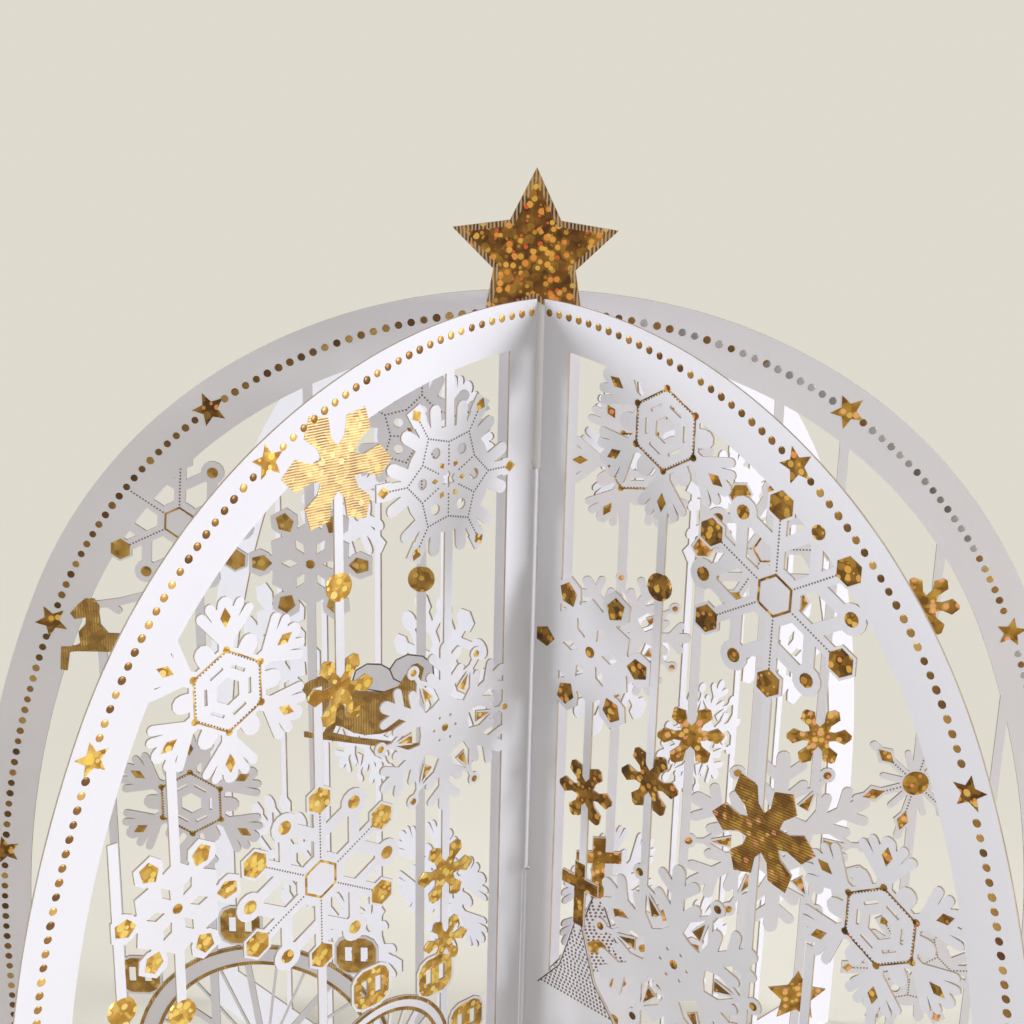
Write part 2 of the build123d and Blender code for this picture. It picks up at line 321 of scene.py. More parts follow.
@dataclass(frozen=True)
class CardFinish(Finish):
    """Matt white card with fine fibres, and the toasted edge that the laser leaves."""

    turn: float
    face: Colour
    shade_gain: float = 0.94
    edge: Colour = (0.50, 0.42, 0.33)
    dark_edge: Colour = (0.26, 0.19, 0.13)
    cloud_width: float = 0.012
    fibre_width: float = 0.00035
    fibre_stretch: Triple = (1.0, 1.0, 0.45)
    fibre_height: float = 0.00004
    toast_width: float = 0.0025
    roughness: Point = (0.62, 0.15)
    gloss: float = 0.25
    relief: float = 0.25

    def paint(self, surface: Surface) -> None:
        """Paints the faces white, and the cut edges, which look along the sheet, brown.

        Args:
            surface: The new material.
        """
        nodes = surface.nodes
        facing = (sin(radians(self.turn)), -cos(radians(self.turn)), 0.0)
        sockets = {0: surface.place.outputs["Normal"], 1: facing}
        flat = abs(nodes.value("ShaderNodeVectorMath", "Value", {"operation": "DOT_PRODUCT"}, sockets))
        cut = flat < 0.5
        cloud = surface.noise(self.cloud_width, 3.0)
        fibre = surface.noise(self.fibre_width, 3.0, self.fibre_stretch)
        shade = tuple(self.shade_gain * channel for channel in self.face)
        face = nodes.mix(cloud * 0.7 + fibre * 0.3, shade, self.face)
        toast = nodes.mix(surface.noise(self.toast_width, 3.0), self.dark_edge, self.edge)
        colour = nodes.mix(cut, face, toast)
        rough = fibre * self.roughness[1] + self.roughness[0]
        surface.set(Base_Color=colour, Roughness=rough, Specular_IOR_Level=self.gloss)
        surface.bump(fibre, self.relief, self.fibre_height)


@dataclass(frozen=True)
class Palette:
    """Colours of one tone of foil: its three grounds, from deep to bright, spread by a painted sheen, and its
    glints, painted highlights on the foil's holographic spots.
    """

    grounds: tuple[Colour, ...]
    glints: tuple[Colour, ...]
    glint_share: float
    glint_width: float = 0.00095


# Painted light and shade: each face's palette is the same foil made brighter or darker after how the lamps
# fall on that face.
PALETTES: dict[Tone, Palette] = {
    Tone.LIT: Palette(
        ((0.33, 0.16, 0.018), (0.56, 0.31, 0.05), (0.84, 0.56, 0.15)),
        ((1.0, 0.60, 0.12), (1.0, 0.82, 0.34), (0.88, 0.64, 0.08), (1.0, 0.70, 0.20)), 0.62),
    Tone.HALF_SHADED: Palette(
        ((0.085, 0.036, 0.003), (0.215, 0.100, 0.010), (0.42, 0.22, 0.032)),
        ((1.0, 0.36, 0.10), (0.50, 0.28, 0.04), (1.0, 0.62, 0.14), (0.80, 0.42, 0.05)), 0.50, 0.00085),
    Tone.SHADOWED: Palette(
        ((0.24, 0.12, 0.018), (0.40, 0.22, 0.04), (0.58, 0.36, 0.09)),
        ((0.70, 0.42, 0.10), (0.80, 0.50, 0.16), (0.62, 0.42, 0.08), (0.78, 0.46, 0.14)), 0.22),
    Tone.ROSY_LIT: Palette(
        ((0.20, 0.085, 0.008), (0.38, 0.19, 0.020), (0.62, 0.35, 0.06)),
        ((1.0, 0.34, 0.20), (0.60, 0.34, 0.05), (1.0, 0.62, 0.16), (1.0, 0.46, 0.26)), 0.55, 0.00085),
    Tone.STAR: Palette(
        ((0.095, 0.034, 0.004), (0.21, 0.088, 0.010), (0.42, 0.21, 0.030)),
        ((1.0, 0.13, 0.05), (0.42, 0.20, 0.02), (1.0, 0.58, 0.10), (1.0, 0.30, 0.06)), 0.66, 0.00078),
}
GROUND_STOPS = (0.34, 0.50, 0.68)
GLINT_STOPS = (0.0, 0.35, 0.65, 0.95)
GOLD_STOPS = (0.0, 0.45, 0.75, 1.0)
GREY_STOPS = (0.0, 1.0)


@dataclass(frozen=True)
class Hatch:
    """Fine lines in foil: their step in metres, the axis that they cross, their colour and their share."""

    step: float
    axis: int
    colour: Colour
    share: float


@dataclass(frozen=True)
class FoilFinish(Finish):
    """Stamped gold foil with round holographic glints, plain or hatched; its sheen and glints are painted
    highlights.
    """

    tone: Tone
    hatch: Hatch | None = None
    hatch_lit_share: float = 0.3
    sheen_width: float = 0.0030
    wobble_width: float = 0.0016
    wobble_turn: float = 4.0
    rough_width: float = 0.0012
    roughness: Point = (0.22, 0.25)
    metal: float = 0.5
    lit_share: float = 0.85
    line_share: float = 0.8
    relief: float = 0.35
    glint_height: float = 0.00006
    glint_size: Point = (0.38, 0.16)
    disorder: float = 0.9

    def glints(self, surface: Surface, share: float) -> tuple[Value, Value, Value]:
        """Round glints of several sizes.

        Args:
            surface: The material that gets them.
            share: How many of the cells are lit.

        Returns:
            Where a glint is, its place in the colour ramp, and a height for the bump.
        """
        scale = 1.0 / PALETTES[self.tone].glint_width
        sockets = {"Vector": surface.place.outputs["Object"], "Scale": scale, "Randomness": self.disorder}
        cells = surface.nodes.add("ShaderNodeTexVoronoi", None, sockets)
        colour = surface.nodes.add("ShaderNodeSeparateColor", None, {0: cells.outputs["Color"]})
        chance, hue, size = (Value(surface.nodes, output) for output in colour.outputs)
        distance = Value(surface.nodes, cells.outputs["Distance"])
        reach = size * self.glint_size[1] + self.glint_size[0]
        lit = (distance < reach) * (chance > 1.0 - share)
        return lit, hue, distance * 0.6 + chance

    def paint(self, surface: Surface) -> None:
        """Paints the sheen, the glints and the hatching.

        Args:
            surface: The new material.
        """
        nodes, palette, hatch = surface.nodes, PALETTES[self.tone], self.hatch
        share = palette.glint_share * (self.hatch_lit_share if hatch else 1.0)
        lit, hue, height = self.glints(surface, share)
        # Painted sheen: noise spreads the ground from deep to bright.
        sheen = surface.noise(self.sheen_width, 3.0) * 0.75 + hue * 0.25
        base = nodes.ramp(sheen, GROUND_STOPS, palette.grounds)
        # Painted glints: lit cells take the glint colours.
        colour = nodes.mix(lit * self.lit_share, base, nodes.ramp(hue, GLINT_STOPS, palette.glints))
        rough = surface.noise(self.rough_width) * self.roughness[1] + self.roughness[0]
        if hatch:
            wobble = surface.noise(self.wobble_width) * self.wobble_turn
            line = (surface.along(hatch.axis) * (tau / hatch.step) + wobble).sine() > 1.0 - 2.0 * hatch.share
            colour = nodes.mix(line * self.line_share, colour, hatch.colour)
            height = height - line * 0.5
        surface.set(Base_Color=colour, Roughness=rough, Metallic=self.metal)
        surface.bump(height, self.relief, self.glint_height)


@dataclass(frozen=True)
class DotFinish(Finish):
    """Small round foil stamps that catch the light one by one, some gold and some silver."""

    silver: float
    painted_shade_gain: float = 1.0
    drift_width: float = 0.022
    drift_spread: float = 0.2
    rough_width: float = 0.0008
    roughness: Point = (0.18, 0.2)
    metal: float = 0.7
    gold: tuple[Colour, ...] = (
        (0.17, 0.085, 0.03), (0.36, 0.185, 0.05), (0.58, 0.32, 0.09), (0.90, 0.57, 0.19),
    )
    grey: tuple[Colour, ...] = ((0.13, 0.12, 0.11), (0.52, 0.50, 0.49))

    def paint(self, surface: Surface) -> None:
        """Paints each stamp by its own number.

        Args:
            surface: The new material.
        """
        nodes = surface.nodes
        spark = nodes.value("ShaderNodeAttribute", "Fac", {"attribute_name": SPARK})
        drift = surface.noise(self.drift_width, 1.0)
        # Painted highlight and shade: each stamp's random spark sets how brightly it seems to catch the
        # light, and the gain darkens the gold on a face that the lamps light less.
        lit = [tuple(self.painted_shade_gain * channel for channel in colour) for colour in self.gold]
        gold, grey = nodes.ramp(spark, GOLD_STOPS, lit), nodes.ramp(spark, GREY_STOPS, self.grey)
        cold = (drift + (spark - 0.5) * self.drift_spread) > 1.0 - self.silver
        rough = surface.noise(self.rough_width) * self.roughness[1] + self.roughness[0]
        surface.set(Base_Color=nodes.mix(cold, gold, grey), Roughness=rough, Metallic=self.metal)


@dataclass(frozen=True)
class ScorchFinish(Finish):
    """Brown mark that the laser leaves where it engraves or pricks the card."""

    dark: Colour = (0.11, 0.070, 0.045)
    light: Colour = (0.26, 0.18, 0.12)
    patch_width: float = 0.003
    rough_width: float = 0.0005
    roughness: Point = (0.6, 0.2)

    def paint(self, surface: Surface) -> None:
        """Paints patches of the two browns.

        Args:
            surface: The new material.
        """
        colour = surface.nodes.mix(surface.noise(self.patch_width, 3.0), self.dark, self.light)
        rough = surface.noise(self.rough_width) * self.roughness[1] + self.roughness[0]
        surface.set(Base_Color=colour, Roughness=rough)


HATCHES: dict[Cover, tuple[Tone, Hatch]] = {
    Cover.STAR_EDGE: (Tone.STAR, Hatch(0.00045, 0, (0.60, 0.48, 0.34), 0.4)),
    Cover.LIGHT_HATCH: (Tone.LIT, Hatch(0.00032, 2, (0.92, 0.80, 0.56), 0.45)),
    Cover.DARK_HATCH: (Tone.ROSY_LIT, Hatch(0.00037, 2, (0.10, 0.05, 0.015), 0.36)),
    Cover.FIGURE: (Tone.SHADOWED, Hatch(0.00034, 0, (0.24, 0.14, 0.06), 0.3)),
}


class Finishes:
    """The glitter, hatched and scorch finishes, each made once."""

    def __init__(self) -> None:
        """Makes them."""
        self.glitter = {tone: FoilFinish(f"{tone.value}_glitter_foil", tone).make() for tone in Tone}
        self.hatched = {
            cover: FoilFinish(f"{cover.value}_foil", *kind).make() for cover, kind in HATCHES.items()}
        self.scorch = ScorchFinish("scorched_line").make()

    def cover(self, cover: Cover, tone: Tone) -> Material:
        """Foil for an ornament, where plain glitter has the tone of the face."""
        return self.hatched.get(cover, self.glitter[tone])


# --------------------------------------------------------------------------------------
# Flat drawing


def ring_points(radius: float, sides: int, turn: float = 0.0) -> tuple[Point, ...]:
    """Corners of a regular polygon, anticlockwise, the first one turned by degrees."""
    angles = (radians(turn) + tau * side / sides for side in range(sides))
    return tuple((radius * cos(angle), radius * sin(angle)) for angle in angles)


def moved(points: Iterable[Point], across: float, up: float) -> tuple[Point, ...]:
    """Points moved in the drawing."""
    return tuple((x + across, y + up) for x, y in points)


def disc(at: float, radius: float, sides: int = 12) -> tuple[Point, ...]:
    """Round shape centred on the arm, at a distance along it."""
    return moved(ring_points(radius, sides), at, 0.0)


def diamond(at: float, length: float, width: float) -> tuple[Point, ...]:
    """Four-cornered shape centred on the arm, with half its length along the arm and half its width."""
    return ((at - length, 0.0), (at, -width), (at + length, 0.0), (at, width))


def star_points(radius: float, inner_share: float, points: int = 5) -> tuple[Point, ...]:
    """Outline of a star that stands on two of its points.

    Args:
        radius: Distance of a tip from the middle.
        inner_share: Share of it for the inner corners.
        points: How many tips.

    Returns:
        The outline, anticlockwise.
    """
    outline: list[Point] = []
    for point in range(points):
        turn = radians(90.0 + point * 360.0 / points)
        half = pi / points
        outline.append((radius * cos(turn), radius * sin(turn)))
        outline.append((radius * inner_share * cos(turn + half), radius * inner_share * sin(turn + half)))
    return tuple(outline)


def placed(points: Iterable[Point], scale: float, turn: float, middle: Point) -> tuple[Point, ...]:
    """Points scaled, turned by degrees and moved to a middle.

    Args:
        points: The points.
        scale: How much larger they get.
        turn: How far they are turned.
        middle: Where their origin goes.

    Returns:
        The placed points.
    """
    c, s = cos(radians(turn)), sin(radians(turn))
    across, up = middle
    return tuple((across + scale * (u * c - v * s), up + scale * (u * s + v * c)) for u, v in points)


def holds(outline: Outline, point: Point) -> bool:
    """Whether a point is inside an outline.

    Args:
        outline: The outline.
        point: The point.

    Returns:
        True if it is inside.
    """
    inside = False
    for (x0, y0), (x1, y1) in zip(outline, outline[1:] + outline[:1]):
        if (y0 > point[1]) != (y1 > point[1]) and point[0] < x0 + (x1 - x0) * (point[1] - y0) / (y1 - y0):
            inside = not inside
    return inside


def mirrored(outline: Outline) -> Outline:
    """The same outline on the other side of the arm."""
    return tuple((u, -v) for u, v in reversed(outline))


def both(*outlines: Outline) -> tuple[Outline, ...]:
    """Each outline and its mirror image."""
    return tuple(each for outline in outlines for each in (outline, mirrored(outline)))


def bar(start: Point, end: Point, width: float, steps: int = 5) -> Outline:
    """Bar with round ends.

    Args:
        start: Middle of one end.
        end: Middle of the other.
        width: Its width.
        steps: Corners of each round end, less one.

    Returns:
        The outline, anticlockwise.
    """
    heading = atan2(end[1] - start[1], end[0] - start[0])
    points: list[Point] = []
    for middle, first in ((end, heading - pi / 2), (start, heading + pi / 2)):
        for step in range(steps + 1):
            angle = first + pi * step / steps
            points.append((middle[0] + width / 2 * cos(angle), middle[1] + width / 2 * sin(angle)))
    return tuple(points)


def box(left: float, right: float, low: float, high: float) -> Outline:
    """Upright rectangle."""
    return ((left, low), (right, low), (right, high), (left, high))


def whole_flake(arm: Sequence[Point]) -> Outline:
    """Outline of a snowflake of radius one.

    Args:
        arm: Half arm, from the middle of the gap between two arms to the tip.

    Returns:
        The whole outline, anticlockwise.
    """
    gap, rest = arm[0], arm[1:]
    whole = [(gap[0], -gap[1])] + [(u, -v) for u, v in rest] + [(u, v) for u, v in reversed(rest) if v > 0]
    points: list[Point] = []
    for number in range(ARMS):
        points += placed(whole, 1.0, number * ARM_STEP, (0.0, 0.0))
    return tuple(points)


@dataclass(frozen=True)
class Recipe:
    """How one kind of snowflake is cut, stamped and engraved.

    Its outlines are shares of the radius, along an arm and across it.
    """

    core: tuple[Outline, ...] = ()
    arms: tuple[Outline, ...] = ()
    gaps: tuple[Outline, ...] = ()
    core_holes: tuple[Outline, ...] = ()
    arm_holes: tuple[Outline, ...] = ()
    gap_holes: tuple[Outline, ...] = ()
    middle: tuple[Outline, ...] = ()
    on_arms: tuple[Outline, ...] = ()
    in_gaps: tuple[Outline, ...] = ()
    ring: tuple[float, float] | None = None
    lines: tuple[Outline, ...] = ()


def on_arm(radius: float, turn: float = 0.0) -> Point:
    """Point at a share of the radius, turned in degrees from the arm."""
    return (radius * cos(radians(turn)), radius * sin(radians(turn)))


ARMS = 6
ARM_STEP = 360.0 / ARMS
ARM_TURNS = tuple(ARM_STEP * number for number in range(ARMS))
GAP_TURNS = tuple(ARM_STEP * (number + 0.5) for number in range(ARMS))
BLOOM_ARM: Outline = ((0.28, 0.16), (0.48, 0.12), (0.78, 0.24), (0.98, 0.06))
PETAL_ARM: Outline = ((0.30, 0.173), (0.48, 0.14), (0.76, 0.25), (1.0, 0.0))
BRANCH_HOLE: Outline = ((0.33, 0.0), (0.45, 0.0), (0.45, 0.068), (0.67, 0.02), (0.50, 0.12), (0.345, 0.11))

RECIPES: dict[Kind, Recipe] = {
    Kind.KITE: Recipe(
        arms=(
            bar((0.0, 0.0), (0.80, 0.0), 0.26),
            (
                (0.56, 0.0), (0.66, -0.17), (0.80, -0.235), (0.985, -0.15), (0.985, 0.15), (0.80, 0.235),
                (0.66, 0.17),
            ),
        ),
        gaps=(((0.10, -0.25), (0.58, -0.20), (0.72, 0.0), (0.58, 0.20), (0.10, 0.25)),),
        arm_holes=(diamond(0.33, 0.14, 0.07),),
        on_arms=(((0.61, 0.0), (0.74, -0.137), (0.925, -0.083), (0.925, 0.083), (0.74, 0.137)),),
        middle=(disc(0.0, 0.075),),
    ),
    Kind.FERN: Recipe(
        core=(ring_points(0.50, 6),),
        arms=(
            bar((0.40, 0.0), (0.91, 0.0), 0.17),
            *both(bar((0.52, 0.02), (0.82, 0.27), 0.105), bar((0.66, 0.03), (0.90, 0.17), 0.105)),
            ((0.50, 0.0), (0.66, -0.12), (0.84, -0.13), (0.97, 0.0), (0.84, 0.13), (0.66, 0.12)),
        ),
        gaps=(bar((0.38, 0.0), (0.52, 0.0), 0.20),),
        core_holes=(ring_points(0.147, 6),),
        gap_holes=(((0.232, -0.085), (0.268, -0.085), (0.268, 0.085), (0.232, 0.085)),),
        on_arms=(disc(0.44, 0.040, 8), diamond(0.78, 0.105, 0.058)),
        ring=(0.449, 0.432),
        lines=((on_arm(0.425), on_arm(0.425, 60.0)),),
    ),
    Kind.SPOKE: Recipe(
        core=(disc(0.0, 0.27, 18),),
        arms=(
            bar((0.0, 0.0), (0.84, 0.0), 0.14), moved(ring_points(0.165, 6), 0.82, 0.0),
            *both(bar((0.447, 0.0), (0.671, 0.3875), 0.12)),
        ),
        gaps=(disc(0.775, 0.145, 14),),
        on_arms=(moved(ring_points(0.135, 6), 0.82, 0.0),),
        in_gaps=(disc(0.775, 0.068),),
        ring=(0.205, 0.178),
        lines=((on_arm(0.23), on_arm(0.68)),),
    ),
    Kind.NET: Recipe(
        core=(disc(0.0, 0.60, 24),),
        arms=(bar((0.0, 0.0), (0.86, 0.0), 0.17), box(0.78, 0.98, -0.10, 0.10)),
        gaps=both(bar((0.50, 0.17), (0.78, 0.19), 0.145)),
        core_holes=(star_points(0.10, 0.55, 6),),
        arm_holes=(disc(0.365, 0.065, 10),),
        on_arms=(diamond(0.89, 0.08, 0.066), diamond(0.19, 0.045, 0.032)),
        lines=(
            (on_arm(0.57), on_arm(0.42, 30.0)), (on_arm(0.42, 30.0), on_arm(0.57, 60.0)),
            (on_arm(0.57), on_arm(0.80)), (on_arm(0.42, 30.0), on_arm(0.17, 30.0)),
        ),
    ),
    Kind.BRANCH: Recipe(
        arms=(
            bar((0.0, 0.0), (0.93, 0.0), 0.14),
            *both(bar((0.72, 0.03), (0.85, 0.18), 0.105), bar((0.46, 0.03), (0.64, 0.21), 0.105)),
        ),
        gaps=(
            (
                (0.05, 0.0), (0.33, -0.19), (0.51, -0.18), (0.74, -0.02), (0.74, 0.02), (0.51, 0.18),
                (0.33, 0.19),
            ),
            bar((0.70, 0.0), (0.87, 0.0), 0.055), disc(0.87, 0.08, 12),
        ),
        gap_holes=(*both(BRANCH_HOLE), disc(0.15, 0.018, 6)),
        in_gaps=(((0.455, -0.05), (0.64, 0.0), (0.455, 0.05)), disc(0.87, 0.040, 8)),
        middle=(disc(0.0, 0.045, 8),),
    ),
    Kind.SPARK: Recipe(
        arms=(bar((0.0, 0.0), (0.93, 0.0), 0.13), diamond(0.66, 0.24, 0.15)),
        gaps=(bar((0.0, 0.0), (0.52, 0.0), 0.10),),
        on_arms=(diamond(0.66, 0.17, 0.09),),
        lines=((on_arm(0.24), on_arm(0.50)),),
    ),
    Kind.PETAL: Recipe(core=(whole_flake(PETAL_ARM),)),
    Kind.BLOOM: Recipe(core=(whole_flake(BLOOM_ARM),)),
}


def between(widths: Sequence[Point], turn: float) -> float:
    """Width at a turn, on straight runs between the given ones.

    Args:
        widths: Pairs of a turn and the width there.
        turn: The turn.

    Returns:
        The width.
    """
    for (first, low), (last, high) in zip(widths, widths[1:]):
        if turn <= last:
            return low + (high - low) * max(0.0, (turn - first) / (last - first))
    return widths[-1][1]


@dataclass(frozen=True)
class Dome:
    """Arch that the rows of stamps follow, and the lattice that hangs in it, in millimetres."""

    crown_height: float = 136.0
    crown_radius: float = 70.4
    shoulder_radius: float = 64.6
    flank_radius: float = 128.0
    crown_turn: int = 26
    low_turn: int = 66

    def centres(self) -> tuple[Point, Point, Point]:
        """Centres of the crown, shoulder and flank arcs.

        Returns:
            The three centres.
        """
        crown = (0.0, self.crown_height - self.crown_radius)
        step = self.crown_radius - self.shoulder_radius
        turn = radians(self.crown_turn)
        shoulder = (crown[0] + step * sin(turn), crown[1] + step * cos(turn))
        step = self.shoulder_radius - self.flank_radius
        turn = radians(self.low_turn)
        return crown, shoulder, (shoulder[0] + step * sin(turn), shoulder[1] + step * cos(turn))

    @property
    def half_span(self) -> float:
        """Half the width between the rows at the base."""
        return self.centres()[2][0] + self.flank_radius

    def edge(self, side: int, widths: Sequence[Point] = ((0.0, 0.0),)) -> list[Point]:
        """Points along a line beside the row of stamps.

        Args:
            side: -1 for the left half, 1 for the right half.
            widths: Distance out of the row at each turn in degrees down from the crown.

        Returns:
            Points from the crown down to the top of the upright side.
        """
        crown, shoulder, flank = self.centres()
        points: list[Point] = []
        for turn in range(91):
            if turn <= self.crown_turn:
                centre, radius = crown, self.crown_radius
            elif turn <= self.low_turn:
                centre, radius = shoulder, self.shoulder_radius
            else:
                centre, radius = flank, self.flank_radius
            radius += between(widths, float(turn))
            angle = radians(turn)
            points.append((side * (centre[0] + radius * sin(angle)), centre[1] + radius * cos(angle)))
        return points

    def row(self, side: int) -> list[Point]:
        """Points along the row of stamps, from the crown down to the base."""
        return self.edge(side) + [(side * self.half_span, 1.5)]

    def body(self, widths: Sequence[Point]) -> Outline:
        """Outline of a whole sheet, at distances out of the row of stamps."""
        right, left = self.edge(1, widths), self.edge(-1, widths)
        return tuple([(right[-1][0], 0.0)] + right[::-1] + left[1:] + [(left[-1][0], 0.0)])

    def window(self, side: int, border: float, bar_width: float, base: float) -> Outline:
        """Outline of the open window beside the spine.

        Args:
            side: -1 for the left one, 1 for the right one.
            border: Width of the frame inside the row of stamps.
            bar_width: Half the width of the bar on the spine.
            base: Height of the base band.

        Returns:
            The outline, anticlockwise.
        """
        rim = [point for point in self.edge(1, ((0.0, -border),)) if point[0] > bar_width]
        top = self.centres()[0][1] + sqrt((self.crown_radius - border) ** 2 - bar_width ** 2)
        right = tuple([(bar_width, base), (rim[-1][0], base)] + rim[::-1] + [(bar_width, top)])
        return right if side > 0 else tuple((-x, y) for x, y in reversed(right))

    def spot(self, side: int, across: float, up: float) -> Point:
        """Place of a share across the half span and up the height."""
        return (side * across * self.half_span, up * self.crown_height)


@dataclass(frozen=True)
class Flake:
    """One snowflake of the lattice, placed and sized in shares of the half span and of the height."""

    kind: Kind
    across: float
    up: float
    size: float
    turn: float = 0.0
    cover: Cover = Cover.BARE

    def laid(
        self, dome: Dome, side: int, outlines: Iterable[Outline], turns: Sequence[float] = (0.0,),
        grow: float = 1.0,
    ) -> Iterator[Outline]:
        """Outlines of the recipe in millimetres.

        Args:
            dome: The dome that it hangs in.
            side: -1 left of the spine, 1 right of it.
            outlines: The outlines along an arm.
            turns: Directions that they are repeated in, in degrees.
            grow: Share of the snowflake's size.

        Yields:
            Each outline at each turn.
        """
        middle, radius = dome.spot(side, self.across, self.up), self.size * dome.half_span * grow
        for turn in turns:
            for outline in outlines:
                yield placed(outline, radius, self.turn + turn, middle)

    def card(self, dome: Dome, side: int) -> Iterator[tuple[Role, Outline]]:
        """Outlines that cut the snowflake from card, and what each does.

        Args:
            dome: The dome that it hangs in.
            side: -1 left of the spine, 1 right of it.

        Yields:
            Each outline and what it does to the card.
        """
        recipe = RECIPES[self.kind]
        groups = (
            (recipe.core, recipe.core_holes, (0.0,)), (recipe.arms, recipe.arm_holes, ARM_TURNS),
            (recipe.gaps, recipe.gap_holes, GAP_TURNS),
        )
        for added, holes, turns in groups:
            for role, outlines in ((Role.ADDED, added), (Role.CUT, holes)):
                for outline in self.laid(dome, side, outlines, turns):
                    yield role, outline


@dataclass(frozen=True)
class Face:
    """One side of one sheet: drawings on it are in millimetres across, up and out of the card."""

    name: str
    turn: float
    thickness: float = 0.3

    @property
    def skin(self) -> float:
        """Distance of the face from the middle of the card."""
        return self.thickness / 2

    def matrix(self) -> Matrix:
        """Matrix from the drawing to metres in the row frame.

        Returns:
            The matrix.
        """
        angle = radians(self.turn)
        across = Vector((cos(angle), sin(angle), 0.0)) * MM
        out = Vector((sin(angle), -cos(angle), 0.0)) * MM
        up = Vector((0.0, 0.0, 1.0)) * MM
        return Matrix((across, up, out)).transposed().to_4x4()


# --------------------------------------------------------------------------------------
# Making meshes


FOIL_LOW = -0.05
FOIL_HIGH = 0.03


def add_plate(
    mesh: bmesh.types.BMesh, outline: Sequence[Point], low: float, high: float,
) -> list[bmesh.types.BMFace]:
    """Adds a thin closed plate.

    Args:
        mesh: The mesh to add to.
        outline: Its outline, anticlockwise, in the drawing.
        low: Depth of its lower face out of the card.
        high: Depth of its upper face.

    Returns:
        The new faces.
    """
    bottom, top = ([mesh.verts.new((x, y, depth)) for x, y in outline] for depth in (low, high))
    faces = [mesh.faces.new(top), mesh.faces.new(bottom[::-1])]
    for here in range(len(outline)):
        after = (here + 1) % len(outline)
        faces.append(mesh.faces.new((bottom[here], bottom[after], top[after], top[here])))
    return faces


class Stencil:
    """A flat drawing in millimetres, whose outlines are joined, opened and cut as a laser cuts card."""

    def __init__(self) -> None:
        """Starts with an empty drawing."""
        self.outlines: list[tuple[Role, Outline]] = []

    def draw(self, role: Role, *outlines: Outline) -> None:
        """Adds anticlockwise outlines that all do the same to the card."""
        self.outlines += [(role, outline) for outline in outlines]

    def _kept(self, owners: Iterable[int]) -> bool:
        """Whether a bit of the drawing inside these outlines is card.

        Args:
            owners: Numbers of the outlines round it.

        Returns:
            True if it is card.
        """
        roles = {self.outlines[owner][0] for owner in owners}
        inside = Role.BODY in roles and (Role.ADDED in roles or Role.WINDOW not in roles)
        return (inside or Role.FREE in roles) and Role.CUT not in roles

    def add_to(self, mesh: bmesh.types.BMesh, low: float, high: float) -> list[bmesh.types.BMFace]:
        """Adds the drawing to a mesh as a closed plate.

        Args:
            mesh: The mesh to add to.
            low: Depth of its lower face out of the card.
            high: Depth of its upper face.

        Returns:
            The new faces.
        """
        points: list[Vector] = []
        rings: list[list[int]] = []
        for _, outline in self.outlines:
            rings.append(list(range(len(points), len(points) + len(outline))))
            points += [Vector(point) for point in outline]
        flat, _, triangles, _, _, owners = delaunay_2d_cdt(points, [], rings, 1, 1e-5)
        kept = [tuple(triangle) for triangle, owner in zip(triangles, owners) if self._kept(owner)]
        used = sorted({corner for triangle in kept for corner in triangle})
        bottom, top = (
            {corner: mesh.verts.new((*flat[corner], depth)) for corner in used} for depth in (low, high))
        edges = {(triangle[side], triangle[(side + 1) % 3]) for triangle in kept for side in range(3)}
        faces = []
        for triangle in kept:
            faces.append(mesh.faces.new([top[corner] for corner in triangle]))
            faces.append(mesh.faces.new([bottom[corner] for corner in reversed(triangle)]))
        for a, b in edges:
            if (b, a) not in edges:
                faces.append(mesh.faces.new((bottom[a], bottom[b], top[b], top[a])))
        return faces


def ring_cells(outer: Outline, inner: Outline) -> tuple[Outline, ...]:
    """Quads that fill the ring between two outlines with the same number of corners."""
    following = list(range(1, len(outer))) + [0]
    return tuple((outer[a], outer[b], inner[b], inner[a]) for a, b in enumerate(following))


